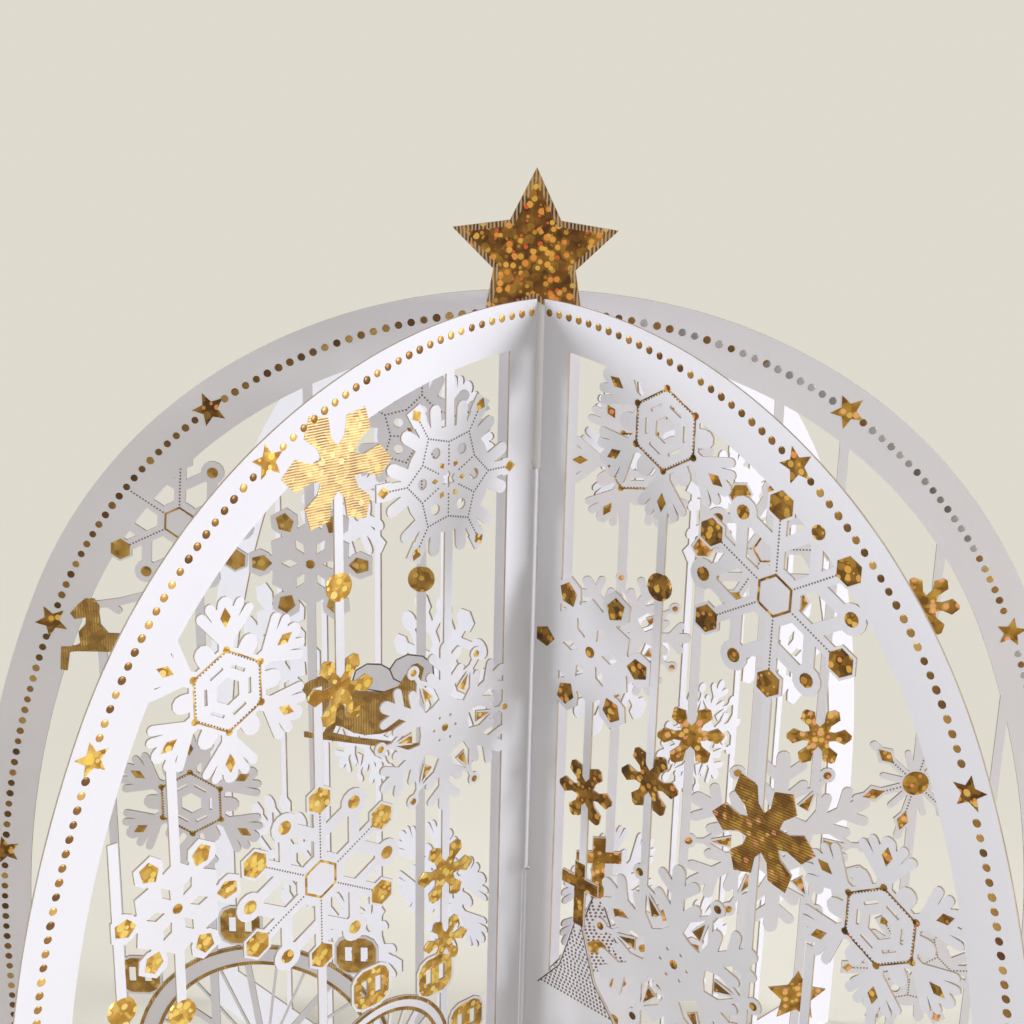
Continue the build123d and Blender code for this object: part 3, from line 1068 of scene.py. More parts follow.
class Piece:
    """A piece in the making: a drawing on one face of a sheet that becomes one object."""

    def __init__(self, name: str, face: Face, slot: Slot) -> None:
        """Starts the piece.

        Args:
            name: Name of the finished object.
            face: Face of the sheet that carries it.
            slot: Material slot of the record; not used.
        """
        self.name = name
        self.face = face
        self.slot = slot
        self.mesh = bmesh.new()
        self.materials: list[Material] = []

    def _dress(self, faces: Iterable[bmesh.types.BMFace], material: Material) -> None:
        """Gives faces their material.

        Args:
            faces: The faces.
            material: Their material.
        """
        if material not in self.materials:
            self.materials.append(material)
        for face in faces:
            face.material_index = self.materials.index(material)

    def plate(
        self, outline: Sequence[Point], material: Material, low: float = FOIL_LOW, high: float = FOIL_HIGH,
    ) -> None:
        """Adds a foil plate that starts and stands these distances out of the face."""
        skin = self.face.skin
        self._dress(add_plate(self.mesh, outline, skin + low, skin + high), material)

    def stencil(self, stencil: Stencil, material: Material, low: float, high: float) -> None:
        """Adds a cut drawing, as plate does."""
        skin = self.face.skin
        self._dress(stencil.add_to(self.mesh, skin + low, skin + high), material)

    def foil(self, material: Material, shapes: Iterable[Outline], holes: Iterable[Outline] = ()) -> None:
        """Adds foil that is cut from joined shapes and lies in the face.

        Args:
            material: Its finish.
            shapes: Outlines that are joined.
            holes: Outlines that are cut out of them.
        """
        drawing = Stencil()
        drawing.draw(Role.FREE, *shapes)
        drawing.draw(Role.CUT, *holes)
        self.stencil(drawing, material, FOIL_LOW, FOIL_HIGH)

    def line(self, points: Sequence[Point]) -> None:
        """Adds a line of edges for a tree to follow, at the surface of the face.

        Args:
            points: Its points in the drawing.
        """
        verts = [self.mesh.verts.new((x, y, self.face.skin)) for x, y in points]
        for first, second in zip(verts, verts[1:]):
            self.mesh.edges.new((first, second))

    def drawing(self) -> bpy.types.Object:
        """Makes the object as drawn, in millimetres.

        Returns:
            The object.
        """
        data = bpy.data.meshes.new(self.name)
        self.mesh.to_mesh(data)
        self.mesh.free()
        piece = bpy.data.objects.new(self.name, data)
        bpy.context.scene.collection.objects.link(piece)
        for material in self.materials:
            data.materials.append(material)
        return piece

    def done(self, piece: bpy.types.Object | None = None) -> bpy.types.Object:
        """Puts the piece in place and hands it to the frame.

        Args:
            piece: The drawn object, or None to make it from the mesh.

        Returns:
            The finished object.
        """
        if piece is None:
            piece = self.drawing()
        piece.data.transform(self.face.matrix())
        piece.data.update()
        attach(piece, "root")
        LOG.info("%s: %d faces", piece.name, len(piece.data.polygons))
        return piece


# --------------------------------------------------------------------------------------
# Geometry trees


class Stamp(Enum):
    """Shape that a row of stamps repeats."""

    DOT = "dot"
    STAR = "star"


class LineTree:
    """Geometry tree that sets a small shape at even steps along every line of a drawing."""

    def __init__(self, name: str, inputs: dict[str, str]) -> None:
        """Makes the tree's inputs and output.

        Args:
            name: Its name.
            inputs: Kinds of its own inputs, by name.
        """
        self.tree = bpy.data.node_groups.new(name, "GeometryNodeTree")
        self.sockets: dict[str, str] = {}
        interface = self.tree.interface
        for title, kind in {"Geometry": "Geometry", **inputs, "Material": "Material"}.items():
            socket = interface.new_socket(title, in_out="INPUT", socket_type=f"NodeSocket{kind}")
            self.sockets[title] = socket.identifier
        interface.new_socket("Geometry", in_out="OUTPUT", socket_type="NodeSocketGeometry")
        self.nodes = Nodes(self.tree)
        self.given = self.nodes.add("NodeGroupInput").outputs

    def geometry(self, kind: str, settings: Settings = None, sockets: Sockets = None) -> Socket:
        """Adds a node as Nodes.add does, and returns its first output."""
        return self.nodes.add(kind, settings, sockets).outputs[0]

    def points(self, step: object) -> Socket:
        """Points at even steps along every line.

        Args:
            step: Distance between them.

        Returns:
            The points.
        """
        curve = self.geometry("GeometryNodeMeshToCurve", None, {"Mesh": self.given["Geometry"]})
        sockets = {"Curve": curve, "Length": step}
        return self.geometry("GeometryNodeResampleCurve", {"mode": "LENGTH"}, sockets)

    def dress(self, stamps: Socket) -> None:
        """Makes the stamps real, gives them the material and hands them out.

        Args:
            stamps: The instances.
        """
        real = self.geometry("GeometryNodeRealizeInstances", None, {0: stamps})
        sockets = {"Geometry": real, "Material": self.given["Material"]}
        self.nodes.add("NodeGroupOutput", None, {0: self.geometry("GeometryNodeSetMaterial", None, sockets)})

    def grow(self, piece: Piece, inputs: dict[str, object]) -> None:
        """Runs the tree on a piece, keeps its result as a plain mesh and puts it in place.

        Args:
            piece: The piece, with the lines drawn on it.
            inputs: Values of the inputs, by name.
        """
        drawn = piece.drawing()
        modifier = drawn.modifiers.new("grow", "NODES")
        modifier.node_group = self.tree
        for name, value in inputs.items():
            modifier[self.sockets[name]] = value
        bpy.context.view_layer.update()
        evaluated = drawn.evaluated_get(bpy.context.evaluated_depsgraph_get())
        made = bpy.data.meshes.new_from_object(evaluated)
        drawn.modifiers.remove(modifier)
        old, drawn.data = drawn.data, made
        bpy.data.meshes.remove(old)
        made.name = drawn.name
        piece.done(drawn)


STAR_INPUTS = ("First Star", "Second Star", "Third Star")
STAR_ROOM = 2.2
STAR_REACH = 0.25
FIRST_DOT = 1.5
STAR_WAIST = 0.45
SIZES = (0.93, 1.05)
SPINS = (0.15, 0.75)


class RowTree(LineTree):
    """Sets dots along a line and leaves room for the stars in the row, or sets those stars."""

    def __init__(self, stamp: Stamp) -> None:
        """Builds the tree.

        Args:
            stamp: The shape to repeat.
        """
        floats = dict.fromkeys(("Pitch", "Radius", "Height", *STAR_INPUTS), "Float")
        super().__init__(f"{stamp.value}_row", {**floats, "Seed": "Int"})
        nodes = self.nodes
        points = self.points(self._given("Pitch") * 0.5)
        number = nodes.value("GeometryNodeSplineParameter", "Index")
        stars = [abs(number - self._given(name) * 2.0) for name in STAR_INPUTS]
        away = stars[0].least(stars[1]).least(stars[2])
        if stamp is Stamp.DOT:
            shape = self._dot()
            chosen = ((number % 2.0) < 0.5) * (away > STAR_ROOM) * (number > FIRST_DOT)
            spin = nodes.add("ShaderNodeCombineXYZ")
        else:
            shape = self._star()
            chosen = away < STAR_REACH
            spin = nodes.add("ShaderNodeCombineXYZ", None, {2: self._chance(*SPINS)})
        sockets = {
            "Points": points, "Selection": chosen, "Instance": shape, "Rotation": spin.outputs[0],
            "Scale": self._chance(*SIZES),
        }
        stamps = self.geometry("GeometryNodeInstanceOnPoints", None, sockets)
        sockets = {"Geometry": stamps, "Name": SPARK, "Value": self._chance(0.0, 1.0)}
        settings = {"data_type": "FLOAT", "domain": "INSTANCE"}
        self.dress(self.geometry("GeometryNodeStoreNamedAttribute", settings, sockets))

    def _given(self, name: str) -> Value:
        """One of the tree's number inputs."""
        return Value(self.nodes, self.given[name])

    def _chance(self, low: float, high: float) -> Value:
        """Random number of each stamp. The float inputs have these numbers in the node."""
        sockets = {2: low, 3: high, 8: self.given["Seed"]}
        return self.nodes.value("FunctionNodeRandomValue", 1, {"data_type": "FLOAT"}, sockets)

    def _dot(self) -> Socket:
        """Low round stamp.

        Returns:
            Its geometry.
        """
        sockets = {"Segments": 12, "Rings": 6, "Radius": self.given["Radius"]}
        ball = self.geometry("GeometryNodeMeshUVSphere", None, sockets)
        sockets = {0: 1.0, 1: 1.0, 2: self._given("Height") / self._given("Radius")}
        scale = self.geometry("ShaderNodeCombineXYZ", None, sockets)
        flat = self.geometry("GeometryNodeTransform", None, {"Geometry": ball, "Scale": scale})
        return self.geometry("GeometryNodeSetShadeSmooth", None, {0: flat})

    def _star(self) -> Socket:
        """Thin star.

        Returns:
            Its geometry.
        """
        inner = self._given("Radius") * STAR_WAIST
        sockets = {"Points": 5, "Inner Radius": inner, "Outer Radius": self.given["Radius"]}
        outline = self.geometry("GeometryNodeCurveStar", None, sockets)
        sheet = self.geometry("GeometryNodeFillCurve", {"mode": "NGONS"}, {0: outline})
        sockets = {"Mesh": sheet, "Offset Scale": self.given["Height"], "Individual": False}
        plate = self.geometry("GeometryNodeExtrudeMesh", {"mode": "FACES"}, sockets)
        under = self.geometry("GeometryNodeFlipFaces", None, {0: sheet})
        closed = self.nodes.add("GeometryNodeJoinGeometry")
        for part in (plate, under):
            self.tree.links.new(part, closed.inputs[0])
        sockets = {"Geometry": closed.outputs[0], "Distance": 0.001}
        return self.geometry("GeometryNodeMergeByDistance", None, sockets)


class PrickTree(LineTree):
    """Pricks a line of small scorched holes along every line."""

    def __init__(self) -> None:
        """Builds the tree."""
        super().__init__("pricked_lines", dict.fromkeys(("Pitch", "Radius", "Height"), "Float"))
        sockets = {"Vertices": 6, "Radius": self.given["Radius"], "Depth": self.given["Height"]}
        hole = self.geometry("GeometryNodeMeshCylinder", None, sockets)
        sockets = {"Points": self.points(self.given["Pitch"]), "Instance": hole}
        self.dress(self.geometry("GeometryNodeInstanceOnPoints", None, sockets))


@dataclass
class Trees:
    """The geometry trees, each built once."""

    dots: RowTree = field(default_factory=lambda: RowTree(Stamp.DOT))
    stars: RowTree = field(default_factory=lambda: RowTree(Stamp.STAR))
    pricks: PrickTree = field(default_factory=PrickTree)


# --------------------------------------------------------------------------------------
# Sub-assemblies


@dataclass
class ArchRow:
    """Row of round stamps and stars along the border of one half of a sheet."""

    face: Face
    side: int
    dome: Dome
    seed: int
    tone: Tone
    silver: float
    # Painted shade: darkens the gold of the dots on a face that the lamps light less.
    painted_shade_gain: float = 1.0
    pitch: float = 1.6
    dot_radius: float = 0.49
    dot_height: float = 0.07
    star_radius: float = 2.15
    star_height: float = 0.03
    star_places: Triple = (26.5, 49.5, 71.5)

    def build(self, trees: Trees, finishes: Finishes) -> None:
        """Makes the dots and the stars.

        Args:
            trees: The geometry trees.
            finishes: The finishes.
        """
        name = self.face.name
        dots = DotFinish(f"{name}_stamps", self.silver, self.painted_shade_gain).make()
        for title, tree, material, radius, height in (
            ("dots", trees.dots, dots, self.dot_radius, self.dot_height),
            ("row_stars", trees.stars, finishes.glitter[self.tone], self.star_radius, self.star_height),
        ):
            piece = Piece(f"{name}_{title}", self.face, Slot.FOIL)
            piece.line(self.dome.row(self.side))
            inputs = {"Pitch": self.pitch, "Radius": radius, "Height": height, "Seed": self.seed}
            inputs |= {**dict(zip(STAR_INPUTS, self.star_places)), "Material": material}
            tree.grow(piece, inputs)


@dataclass(frozen=True)
class Leaf:
    """What hangs in one window of a sheet: snowflakes, strips and baubles, in shares."""

    side: int
    flakes: tuple[Flake, ...]
    strips: tuple[tuple[float, ...], ...]
    baubles: tuple[Point, ...] = ()


class Figure:
    """Something other than a snowflake that is cut in a sheet. Each kind says what it draws."""

    def card(self) -> Iterator[tuple[Role, Outline]]:
        """Outlines that cut the figure from card."""
        yield from ()

    def gild(self, piece: Piece, finishes: Finishes, tone: Tone) -> None:
        """Adds the figure's foil to a piece."""

    def pricked(self) -> Iterator[Sequence[Point]]:
        """Lines along which the laser pricks the figure."""
        yield from ()

    def burnt(self) -> Iterator[Sequence[Point]]:
        """Lines that the laser burns in the figure."""
        yield from ()


@dataclass(frozen=True)
class Wheel(Figure):
    """Ferris wheel with two gold rings, thin spokes and gold cabins with two panes."""

    middle: Point
    radius: float
    cabins: int = 8
    first_turn: float = 8.0
    reach: float = 3.2
    cabin: float = 5.5
    cabin_border: float = 0.7
    corner_share: float = 0.27
    corner_bow: float = 0.35
    pane_half: float = 0.5
    pane_across: float = 0.2
    pane_low: float = 0.2
    pane_high: float = 0.24
    rim_share: float = 0.17
    inner_rim: float = 0.8
    rim_sides: int = 60
    gold_rim: tuple[float, float] = (0.05, 0.55)
    thin_spokes: int = 3
    spoke_width: float = 0.9
    thin_width: float = 0.35
    spoke_reach: float = 0.9
    hanger_width: float = 0.8
    stand_share: float = 0.3

    def _cabins(self) -> Iterator[Point]:
        """Middles of the cabins.

        Yields:
            Each middle.
        """
        for number in range(self.cabins):
            x, y = on_arm(self.radius + self.reach, self.first_turn + number * 360.0 / self.cabins)
            yield x + self.middle[0], y + self.middle[1]

    def _ring(self, radius: float) -> Outline:
        """Circle about the hub."""
        return moved(ring_points(radius, self.rim_sides), *self.middle)

    def _shell(self, middle: Point, size: float) -> Outline:
        """Rounded outline of a cabin.

        Args:
            middle: Middle of the cabin.
            size: Its width and height.

        Returns:
            The outline.
        """
        half, cut = size / 2, size * self.corner_share
        soft = half - cut * self.corner_bow
        quarter = [(half, half - cut), (soft, soft), (half - cut, half)]
        corners: list[Point] = []
        for _ in range(4):
            corners += quarter
            quarter = [(-y, x) for x, y in quarter]
        return moved(corners[-1:] + corners[:-1], *middle)

    def _panes(self, middle: Point) -> Iterator[Outline]:
        """The two panes of a cabin.

        Args:
            middle: Middle of the cabin.

        Yields:
            Each pane.
        """
        for side in (-1, 1):
            across = side * self.cabin * self.pane_across
            low, high = -self.cabin * self.pane_low, self.cabin * self.pane_high
            yield moved(box(across - self.pane_half, across + self.pane_half, low, high), *middle)

    def card(self) -> Iterator[tuple[Role, Outline]]:
        """Outlines of the wheel: rim, spokes, stand and cabins.

        Yields:
            Each outline and what it does to the card.
        """
        for cell in ring_cells(self._ring(self.radius), self._ring(self.radius * (1.0 - self.rim_share))):
            yield Role.ADDED, cell
        spokes = self.cabins * self.thin_spokes
        for number in range(spokes):
            tip = on_arm(self.radius * self.spoke_reach, self.first_turn + number * 360.0 / spokes)
            width = self.thin_width if number % self.thin_spokes else self.spoke_width
            yield Role.ADDED, moved(bar((0.0, 0.0), tip, width, 3), *self.middle)
        spread = self.radius * self.stand_share
        x, y = self.middle
        yield Role.ADDED, ((x - spread, 0.0), (x + spread, 0.0), (x, y))
        for cabin in self._cabins():
            yield Role.ADDED, bar(self.middle, cabin, self.hanger_width, 3)
            yield Role.ADDED, self._shell(cabin, self.cabin + self.cabin_border)
            for pane in self._panes(cabin):
                yield Role.CUT, pane

    def gild(self, piece: Piece, finishes: Finishes, tone: Tone) -> None:
        """Adds the two gold rings and the gold of the cabins.

        Args:
            piece: The foil piece of the leaf.
            finishes: The finishes.
            tone: Tone of the face.
        """
        for share in (1.0, 1.0 - self.rim_share * self.inner_rim):
            outer, inner = (self._ring(self.radius * share - gap) for gap in self.gold_rim)
            piece.foil(finishes.hatched[Cover.FIGURE], ring_cells(outer, inner))
        for cabin in self._cabins():
            piece.foil(finishes.glitter[tone], (self._shell(cabin, self.cabin),), self._panes(cabin))


@dataclass(frozen=True)
class Church(Figure):
    """Church front with a steep pricked roof, a gold cross and two gold windows."""

    middle: float = 10.02
    width: float = 14.4
    wall: float = 42.5
    roof: float = 56.5
    steeple: tuple[Point, ...] = ((1.0, 0.0), (0.46, 0.32), (0.22, 0.70), (0.0, 1.0))
    cross_height: float = 9.4
    cross_width: float = 6.2
    cross_bar: float = 1.9
    window_across: float = 2.6
    window_half: float = 1.1
    window_low: float = 27.0
    window_high: float = 35.0
    window_sides: int = 16
    gold_inset: float = 0.1
    prick_inset: float = 0.4
    burn_inset: float = 0.25
    prick_step: float = 0.62
    row_share: float = 0.87
    first_row: float = 0.6
    last_row: float = 2.5

    def _roof(self, inset: float = 0.0) -> list[Point]:
        """Right edge of the roof, from the eaves to its top."""
        half, rise = self.width / 2, self.roof - self.wall
        return [(self.middle + max(0.0, half * u - inset), self.wall + rise * v) for u, v in self.steeple]

    def _other(self, points: Sequence[Point]) -> list[Point]:
        """The same points on the left."""
        return [(2 * self.middle - x, y) for x, y in points]

    def _cross(self, grow: float = 0.0) -> tuple[Outline, Outline]:
        """Upright and bar of the cross.

        Args:
            grow: How far the outlines move out.

        Returns:
            The two outlines.
        """
        foot, half = self.roof - self.cross_bar, self.cross_bar / 2 + grow
        top = foot + self.cross_height
        reach = self.cross_width / 2
        level = top - reach
        upright = box(self.middle - half, self.middle + half, foot, top + grow)
        return upright, box(self.middle - reach, self.middle + reach, level - half, level + half)

    def card(self) -> Iterator[tuple[Role, Outline]]:
        """Outlines of the church and of its cross.

        Yields:
            Each outline and what it does to the card.
        """
        right = self._roof()
        foot = [(self.middle - self.width / 2, 0.0), (self.middle + self.width / 2, 0.0)]
        yield Role.ADDED, tuple(foot + right + self._other(right)[-2::-1])
        for outline in self._cross():
            yield Role.ADDED, outline

    def gild(self, piece: Piece, finishes: Finishes, tone: Tone) -> None:
        """Adds the gold of the cross and of the windows.

        Args:
            piece: The foil piece of the leaf.
            finishes: The finishes.
            tone: Tone of the face.
        """
        shapes = list(self._cross(-self.gold_inset))
        half, high = self.window_half, self.window_high
        for side in (-1, 1):
            across = self.middle + side * self.window_across
            shapes.append(box(across - half, across + half, self.window_low, high))
            shapes.append(moved(ring_points(half, self.window_sides), across, high))
        piece.foil(finishes.glitter[tone], shapes)

    def pricked(self) -> Iterator[Sequence[Point]]:
        """Rows of pinholes that cover the roof.

        Yields:
            Both ends of each row.
        """
        edge, step = self._roof(self.prick_inset), self.prick_step
        row, level = 0, self.wall + self.first_row
        while level < self.roof - self.last_row:
            for (x0, y0), (x1, y1) in zip(edge, edge[1:]):
                if y0 <= level < y1:
                    half = x0 + (x1 - x0) * (level - y0) / (y1 - y0) - self.middle
                    steps = int(2 * half / step)
                    shift = step * (row % 2) / 2
                    if steps > 1:
                        start = self.middle - half + shift
                        yield ((start, level), (start + steps * step - shift, level))
            level += step * self.row_share
            row += 1

    def burnt(self) -> Iterator[Sequence[Point]]:
        """The burnt edge of the roof.

        Yields:
            Each line.
        """
        edge = self._roof(self.burn_inset)
        yield edge
        yield self._other(edge)


@dataclass(frozen=True)
class Drawn(Figure):
    """Figure whose outlines are drawn from a corner, in shares of its length."""

    corner: Point
    length: float

    def _at(self, points: Iterable[Point]) -> Outline:
        """Points in millimetres."""
        return placed(points, self.length, 0.0, self.corner)


@dataclass(frozen=True)
class Sleigh(Drawn):
    """Gold sleigh on its runner, with a plain sack on it."""

    corner: Point = (-30.5, 76.2)
    length: float = 16.7
    outline: Outline = (
        (0.0, 0.52), (0.10, 0.36), (0.22, 0.27), (0.21, 0.19), (0.17, 0.125), (0.02, 0.135), (0.02, 0.09),
        (0.90, 0.0), (1.0, 0.05), (1.01, 0.12), (0.96, 0.14), (0.96, 0.08), (0.90, 0.055), (0.83, 0.07),
        (0.81, 0.15), (0.84, 0.25), (0.92, 0.40), (0.98, 0.72), (0.93, 0.76), (0.88, 0.74), (0.78, 0.56),
        (0.64, 0.50), (0.46, 0.50), (0.38, 0.58), (0.28, 0.62), (0.16, 0.62), (0.07, 0.58),
    )
    gap: Outline = (
        (0.28, 0.20), (0.25, 0.13), (0.40, 0.10), (0.56, 0.085), (0.76, 0.065), (0.755, 0.13), (0.77, 0.19),
        (0.64, 0.14), (0.52, 0.125), (0.42, 0.14), (0.33, 0.19),
    )
    sack: Outline = (
        (0.40, 0.54), (0.70, 0.50), (0.98, 0.54), (1.06, 0.64), (1.05, 0.76), (0.97, 0.82), (0.85, 0.83),
        (0.76, 0.78), (0.71, 0.70), (0.64, 0.74), (0.53, 0.74), (0.44, 0.68),
    )
    fold: tuple[Point, ...] = ((0.71, 0.70), (0.74, 0.62), (0.82, 0.58), (0.92, 0.60))

    def card(self) -> Iterator[tuple[Role, Outline]]:
        """Outlines of the sleigh and the sack.

        Yields:
            Each outline and what it does to the card.
        """
        yield Role.ADDED, self._at(self.outline)
        yield Role.ADDED, self._at(self.sack)
        yield Role.CUT, self._at(self.gap)

    def gild(self, piece: Piece, finishes: Finishes, tone: Tone) -> None:
        """Adds the gold of the sleigh."""
        piece.foil(finishes.hatched[Cover.FIGURE], (self._at(self.outline),), (self._at(self.gap),))

    def burnt(self) -> Iterator[Sequence[Point]]:
        """The burnt outline of the sack, and its fold."""
        yield self._at(self.sack + self.sack[:1])
        yield self._at(self.fold)


@dataclass(frozen=True)
class Reindeer(Drawn):
    """Gold reindeer that leaps from the frame, with antlers of plain card."""

    corner: Point = (-62.4, 86.4)
    length: float = 13.6
    outline: Outline = (
        (0.0, 0.01), (0.066, 0.0), (0.10, 0.195), (0.17, 0.205), (0.57, 0.21), (0.80, 0.22), (0.86, 0.0),
        (0.93, 0.0), (0.98, 0.40), (0.86, 0.46), (0.66, 0.40), (0.49, 0.40), (0.42, 0.49), (0.41, 0.61),
        (0.42, 0.69), (0.37, 0.75), (0.29, 0.76), (0.21, 0.69), (0.13, 0.60), (0.17, 0.54), (0.28, 0.56),
        (0.27, 0.49), (0.20, 0.41), (0.21, 0.29), (0.16, 0.26), (0.02, 0.25),
    )
    antlers: tuple[tuple[Point, Point], ...] = (
        ((0.37, 0.69), (0.62, 0.73)), ((0.50, 0.71), (0.60, 0.64)), ((0.62, 0.73), (0.86, 0.80)),
    )
    antler_width: float = 0.075

    def card(self) -> Iterator[tuple[Role, Outline]]:
        """Outlines of the body and of the antlers.

        Yields:
            Each outline and what it does to the card.
        """
        yield Role.ADDED, self._at(self.outline)
        for start, end in self.antlers:
            yield Role.ADDED, self._at(bar(start, end, self.antler_width))

    def gild(self, piece: Piece, finishes: Finishes, tone: Tone) -> None:
        """Adds the gold of the body."""
        piece.plate(self._at(self.outline), finishes.hatched[Cover.FIGURE])


@dataclass(frozen=True)
class StripStar(Figure):
    """Small gold star on a strip."""

    middle: Point
    radius: float = 4.2

    def _star(self) -> Outline:
        """Outline of the star."""
        return moved(star_points(self.radius, 0.5), *self.middle)

    def card(self) -> Iterator[tuple[Role, Outline]]:
        """Outline of the star, cut from card."""
        yield Role.ADDED, self._star()

    def gild(self, piece: Piece, finishes: Finishes, tone: Tone) -> None:
        """Adds the gold of the star."""
        piece.plate(self._star(), finishes.glitter[tone])


@dataclass
class Sheet:
    """One laser-cut sheet: its frame, and all that hangs in its two windows."""

    node: str
    face: Face
    dome: Dome
    leaves: tuple[Leaf, ...]
    figures: tuple[Figure, ...]
    outer: tuple[Point, ...]
    inner: float
    slots: tuple[Outline, ...]
    free: tuple[Outline, ...] = ()
    colour: Colour = (0.80, 0.80, 0.865)
    spine_bar: float = 5.0
    base: float = 9.6
    strip_width: float = 1.2
    bauble_radius: float = 1.7
    bauble_sides: int = 20

    def stencil(self) -> Stencil:
        """Draws the whole sheet.

        Returns:
            The drawing.
        """
        drawing = Stencil()
        drawing.draw(Role.BODY, self.dome.body(self.outer))
        for side in (-1, 1):
            drawing.draw(Role.WINDOW, self.dome.window(side, self.inner, self.spine_bar, self.base))
        half = self.strip_width / 2
        for leaf in self.leaves:
            for across, high, *low in leaf.strips:
                middle, top = self.dome.spot(leaf.side, across, high)
                foot = low[0] * self.dome.crown_height if low else self.base - self.face.thickness
                drawing.draw(Role.ADDED, box(middle - half, middle + half, foot, top))
            for bauble in leaf.baubles:
                ring = ring_points(self.bauble_radius, self.bauble_sides)
                drawing.draw(Role.ADDED, moved(ring, *self.dome.spot(leaf.side, *bauble)))
            for flake in leaf.flakes:
                for role, outline in flake.card(self.dome, leaf.side):
                    drawing.draw(role, outline)
        for figure in self.figures:
            for role, outline in figure.card():
                drawing.draw(role, outline)
        drawing.draw(Role.FREE, *self.free)
        drawing.draw(Role.CUT, *self.slots)
        return drawing

    def build(self) -> None:
        """Makes the sheet, which stands for its CAD node."""
        piece = Piece(f"{self.node}_fine_cut", self.face, Slot.CARD)
        card = CardFinish(f"{self.node}_card", self.face.turn, self.colour).make()
        piece.stencil(self.stencil(), card, -self.face.thickness, 0.0)
        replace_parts(piece.done(), self.node)
        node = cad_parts[self.node]
        if not node.data.materials:
            node.data.materials.append(card)
        for slot in node.material_slots:
            slot.material = card


@dataclass
class Lattice:
    """Foil and engraving on one leaf."""

    face: Face
    leaf: Leaf
    dome: Dome
    tone: Tone
    figures: tuple[Figure, ...] = ()
    bauble_radius: float = 1.75
    bauble_sides: int = 20
    bauble_height: float = 0.03
    prick_pitch: float = 0.40
    prick_radius: float = 0.13
    prick_height: float = 0.03
    pinhole_radius: float = 0.20
    frame_width: float = 2.6
    spine_bar: float = 2.0
    burn_pitch: float = 0.11
    burn_radius: float = 0.10
    lip: float = 1.015

    def _laid(self, flake: Flake, *parts: object) -> Iterator[Outline]:
        """Outlines of a snowflake of this leaf, as Flake.laid gives them."""
        return flake.laid(self.dome, self.leaf.side, *parts)

    def _stamped(self, piece: Piece, flake: Flake, gold: Material) -> None:
        """Adds the separate foil stamps of a white snowflake, but none that would lie on the frame.

        Args:
            piece: The foil piece of the leaf.
            flake: The snowflake.
            gold: The foil.
        """
        recipe = RECIPES[flake.kind]
        window = self.dome.window(self.leaf.side, self.frame_width, self.spine_bar, 0.0)
        for outline in self._laid(flake, recipe.middle):
            piece.plate(outline, gold)
        if recipe.ring:
            rings = [ring_points(share, ARMS) for share in recipe.ring]
            piece.foil(gold, ring_cells(*self._laid(flake, rings)))
        for outlines, turns in ((recipe.on_arms, ARM_TURNS), (recipe.in_gaps, GAP_TURNS)):
            for stamp in self._laid(flake, outlines, turns):
                across, up = zip(*stamp)
                if holds(window, (sum(across) / len(stamp), sum(up) / len(stamp))):
                    piece.plate(stamp, gold)

    def _marks(self, kind: str, lines: Sequence[Sequence[Point]], pitch: float, radius: float, trees: Trees,
               finishes: Finishes) -> None:
        """Makes one piece of scorched marks along lines, or none without lines.

        Args:
            kind: What the piece is called after the face.
            lines: The lines.
            pitch: Step between the marks.
            radius: Radius of a mark.
            trees: The geometry trees.
            finishes: The finishes.
        """
        if not lines:
            return
        piece = Piece(f"{self.face.name}_{kind}", self.face, Slot.CARD)
        for line in lines:
            piece.line(line)
        inputs = {"Pitch": pitch, "Radius": radius, "Height": self.prick_height, "Material": finishes.scorch}
        trees.pricks.grow(piece, inputs)

    def build(self, trees: Trees, finishes: Finishes) -> None:
        """Makes the foil piece and the engraved pieces of this leaf.

        Args:
            trees: The geometry trees.
            finishes: The finishes.
        """
        gold = finishes.glitter[self.tone]
        foil = Piece(f"{self.face.name}_foil", self.face, Slot.FOIL)
        for flake in self.leaf.flakes:
            if flake.cover is Cover.BARE:
                self._stamped(foil, flake, gold)
            else:
                core = RECIPES[flake.kind].core
                foil.plate(*self._laid(flake, core, (0.0,), self.lip), finishes.cover(flake.cover, self.tone))
        for bauble in self.leaf.baubles:
            ring = ring_points(self.bauble_radius, self.bauble_sides)
            ring = moved(ring, *self.dome.spot(self.leaf.side, *bauble))
            foil.plate(ring, gold, -self.face.thickness - self.bauble_height, self.bauble_height)
        for figure in self.figures:
            figure.gild(foil, finishes, self.tone)
        foil.done()
        bare = [flake for flake in self.leaf.flakes if flake.cover is Cover.BARE]
        pricks = [line for flake in bare for line in self._laid(flake, RECIPES[flake.kind].lines, ARM_TURNS)]
        roof = [line for figure in self.figures for line in figure.pricked()]
        burns = [line for figure in self.figures for line in figure.burnt()]
        self._marks("pricked_lines", pricks, self.prick_pitch, self.prick_radius, trees, finishes)
        self._marks("roof_pinholes", roof, Church.prick_step, self.pinhole_radius, trees, finishes)
        self._marks("burnt_lines", burns, self.burn_pitch, self.burn_radius, trees, finishes)


@dataclass
class CrownStar:
    """Gold on both faces of the star at the top."""

    face: Face
    back: Face
    middle: Point = (-0.9, 142.7)
    radius: float = 10.6
    inner_share: float = 0.5
    edge_share: float = 0.995
    glitter_share: float = 0.84
    glitter_height: float = 0.045

    def outline(self, side: int, share: float) -> Outline:
        """Outline of the star on one face, at a share of its size."""
        points = star_points(self.radius * share, self.inner_share)
        return moved(points, side * self.middle[0], self.middle[1])

    def build(self, finishes: Finishes) -> None:
        """Makes the hatched border and the glitter field of each face.

        Args:
            finishes: The finishes.
        """
        for name, face, side in (("crown_star_front", self.face, 1), ("crown_star_back", self.back, -1)):
            piece = Piece(name, face, Slot.FOIL)
            piece.plate(self.outline(side, self.edge_share), finishes.hatched[Cover.STAR_EDGE])
            glitter = self.outline(side, self.glitter_share)
            piece.plate(glitter, finishes.glitter[Tone.STAR], 0.0, self.glitter_height)
            piece.done()


# --------------------------------------------------------------------------------------
# Studio


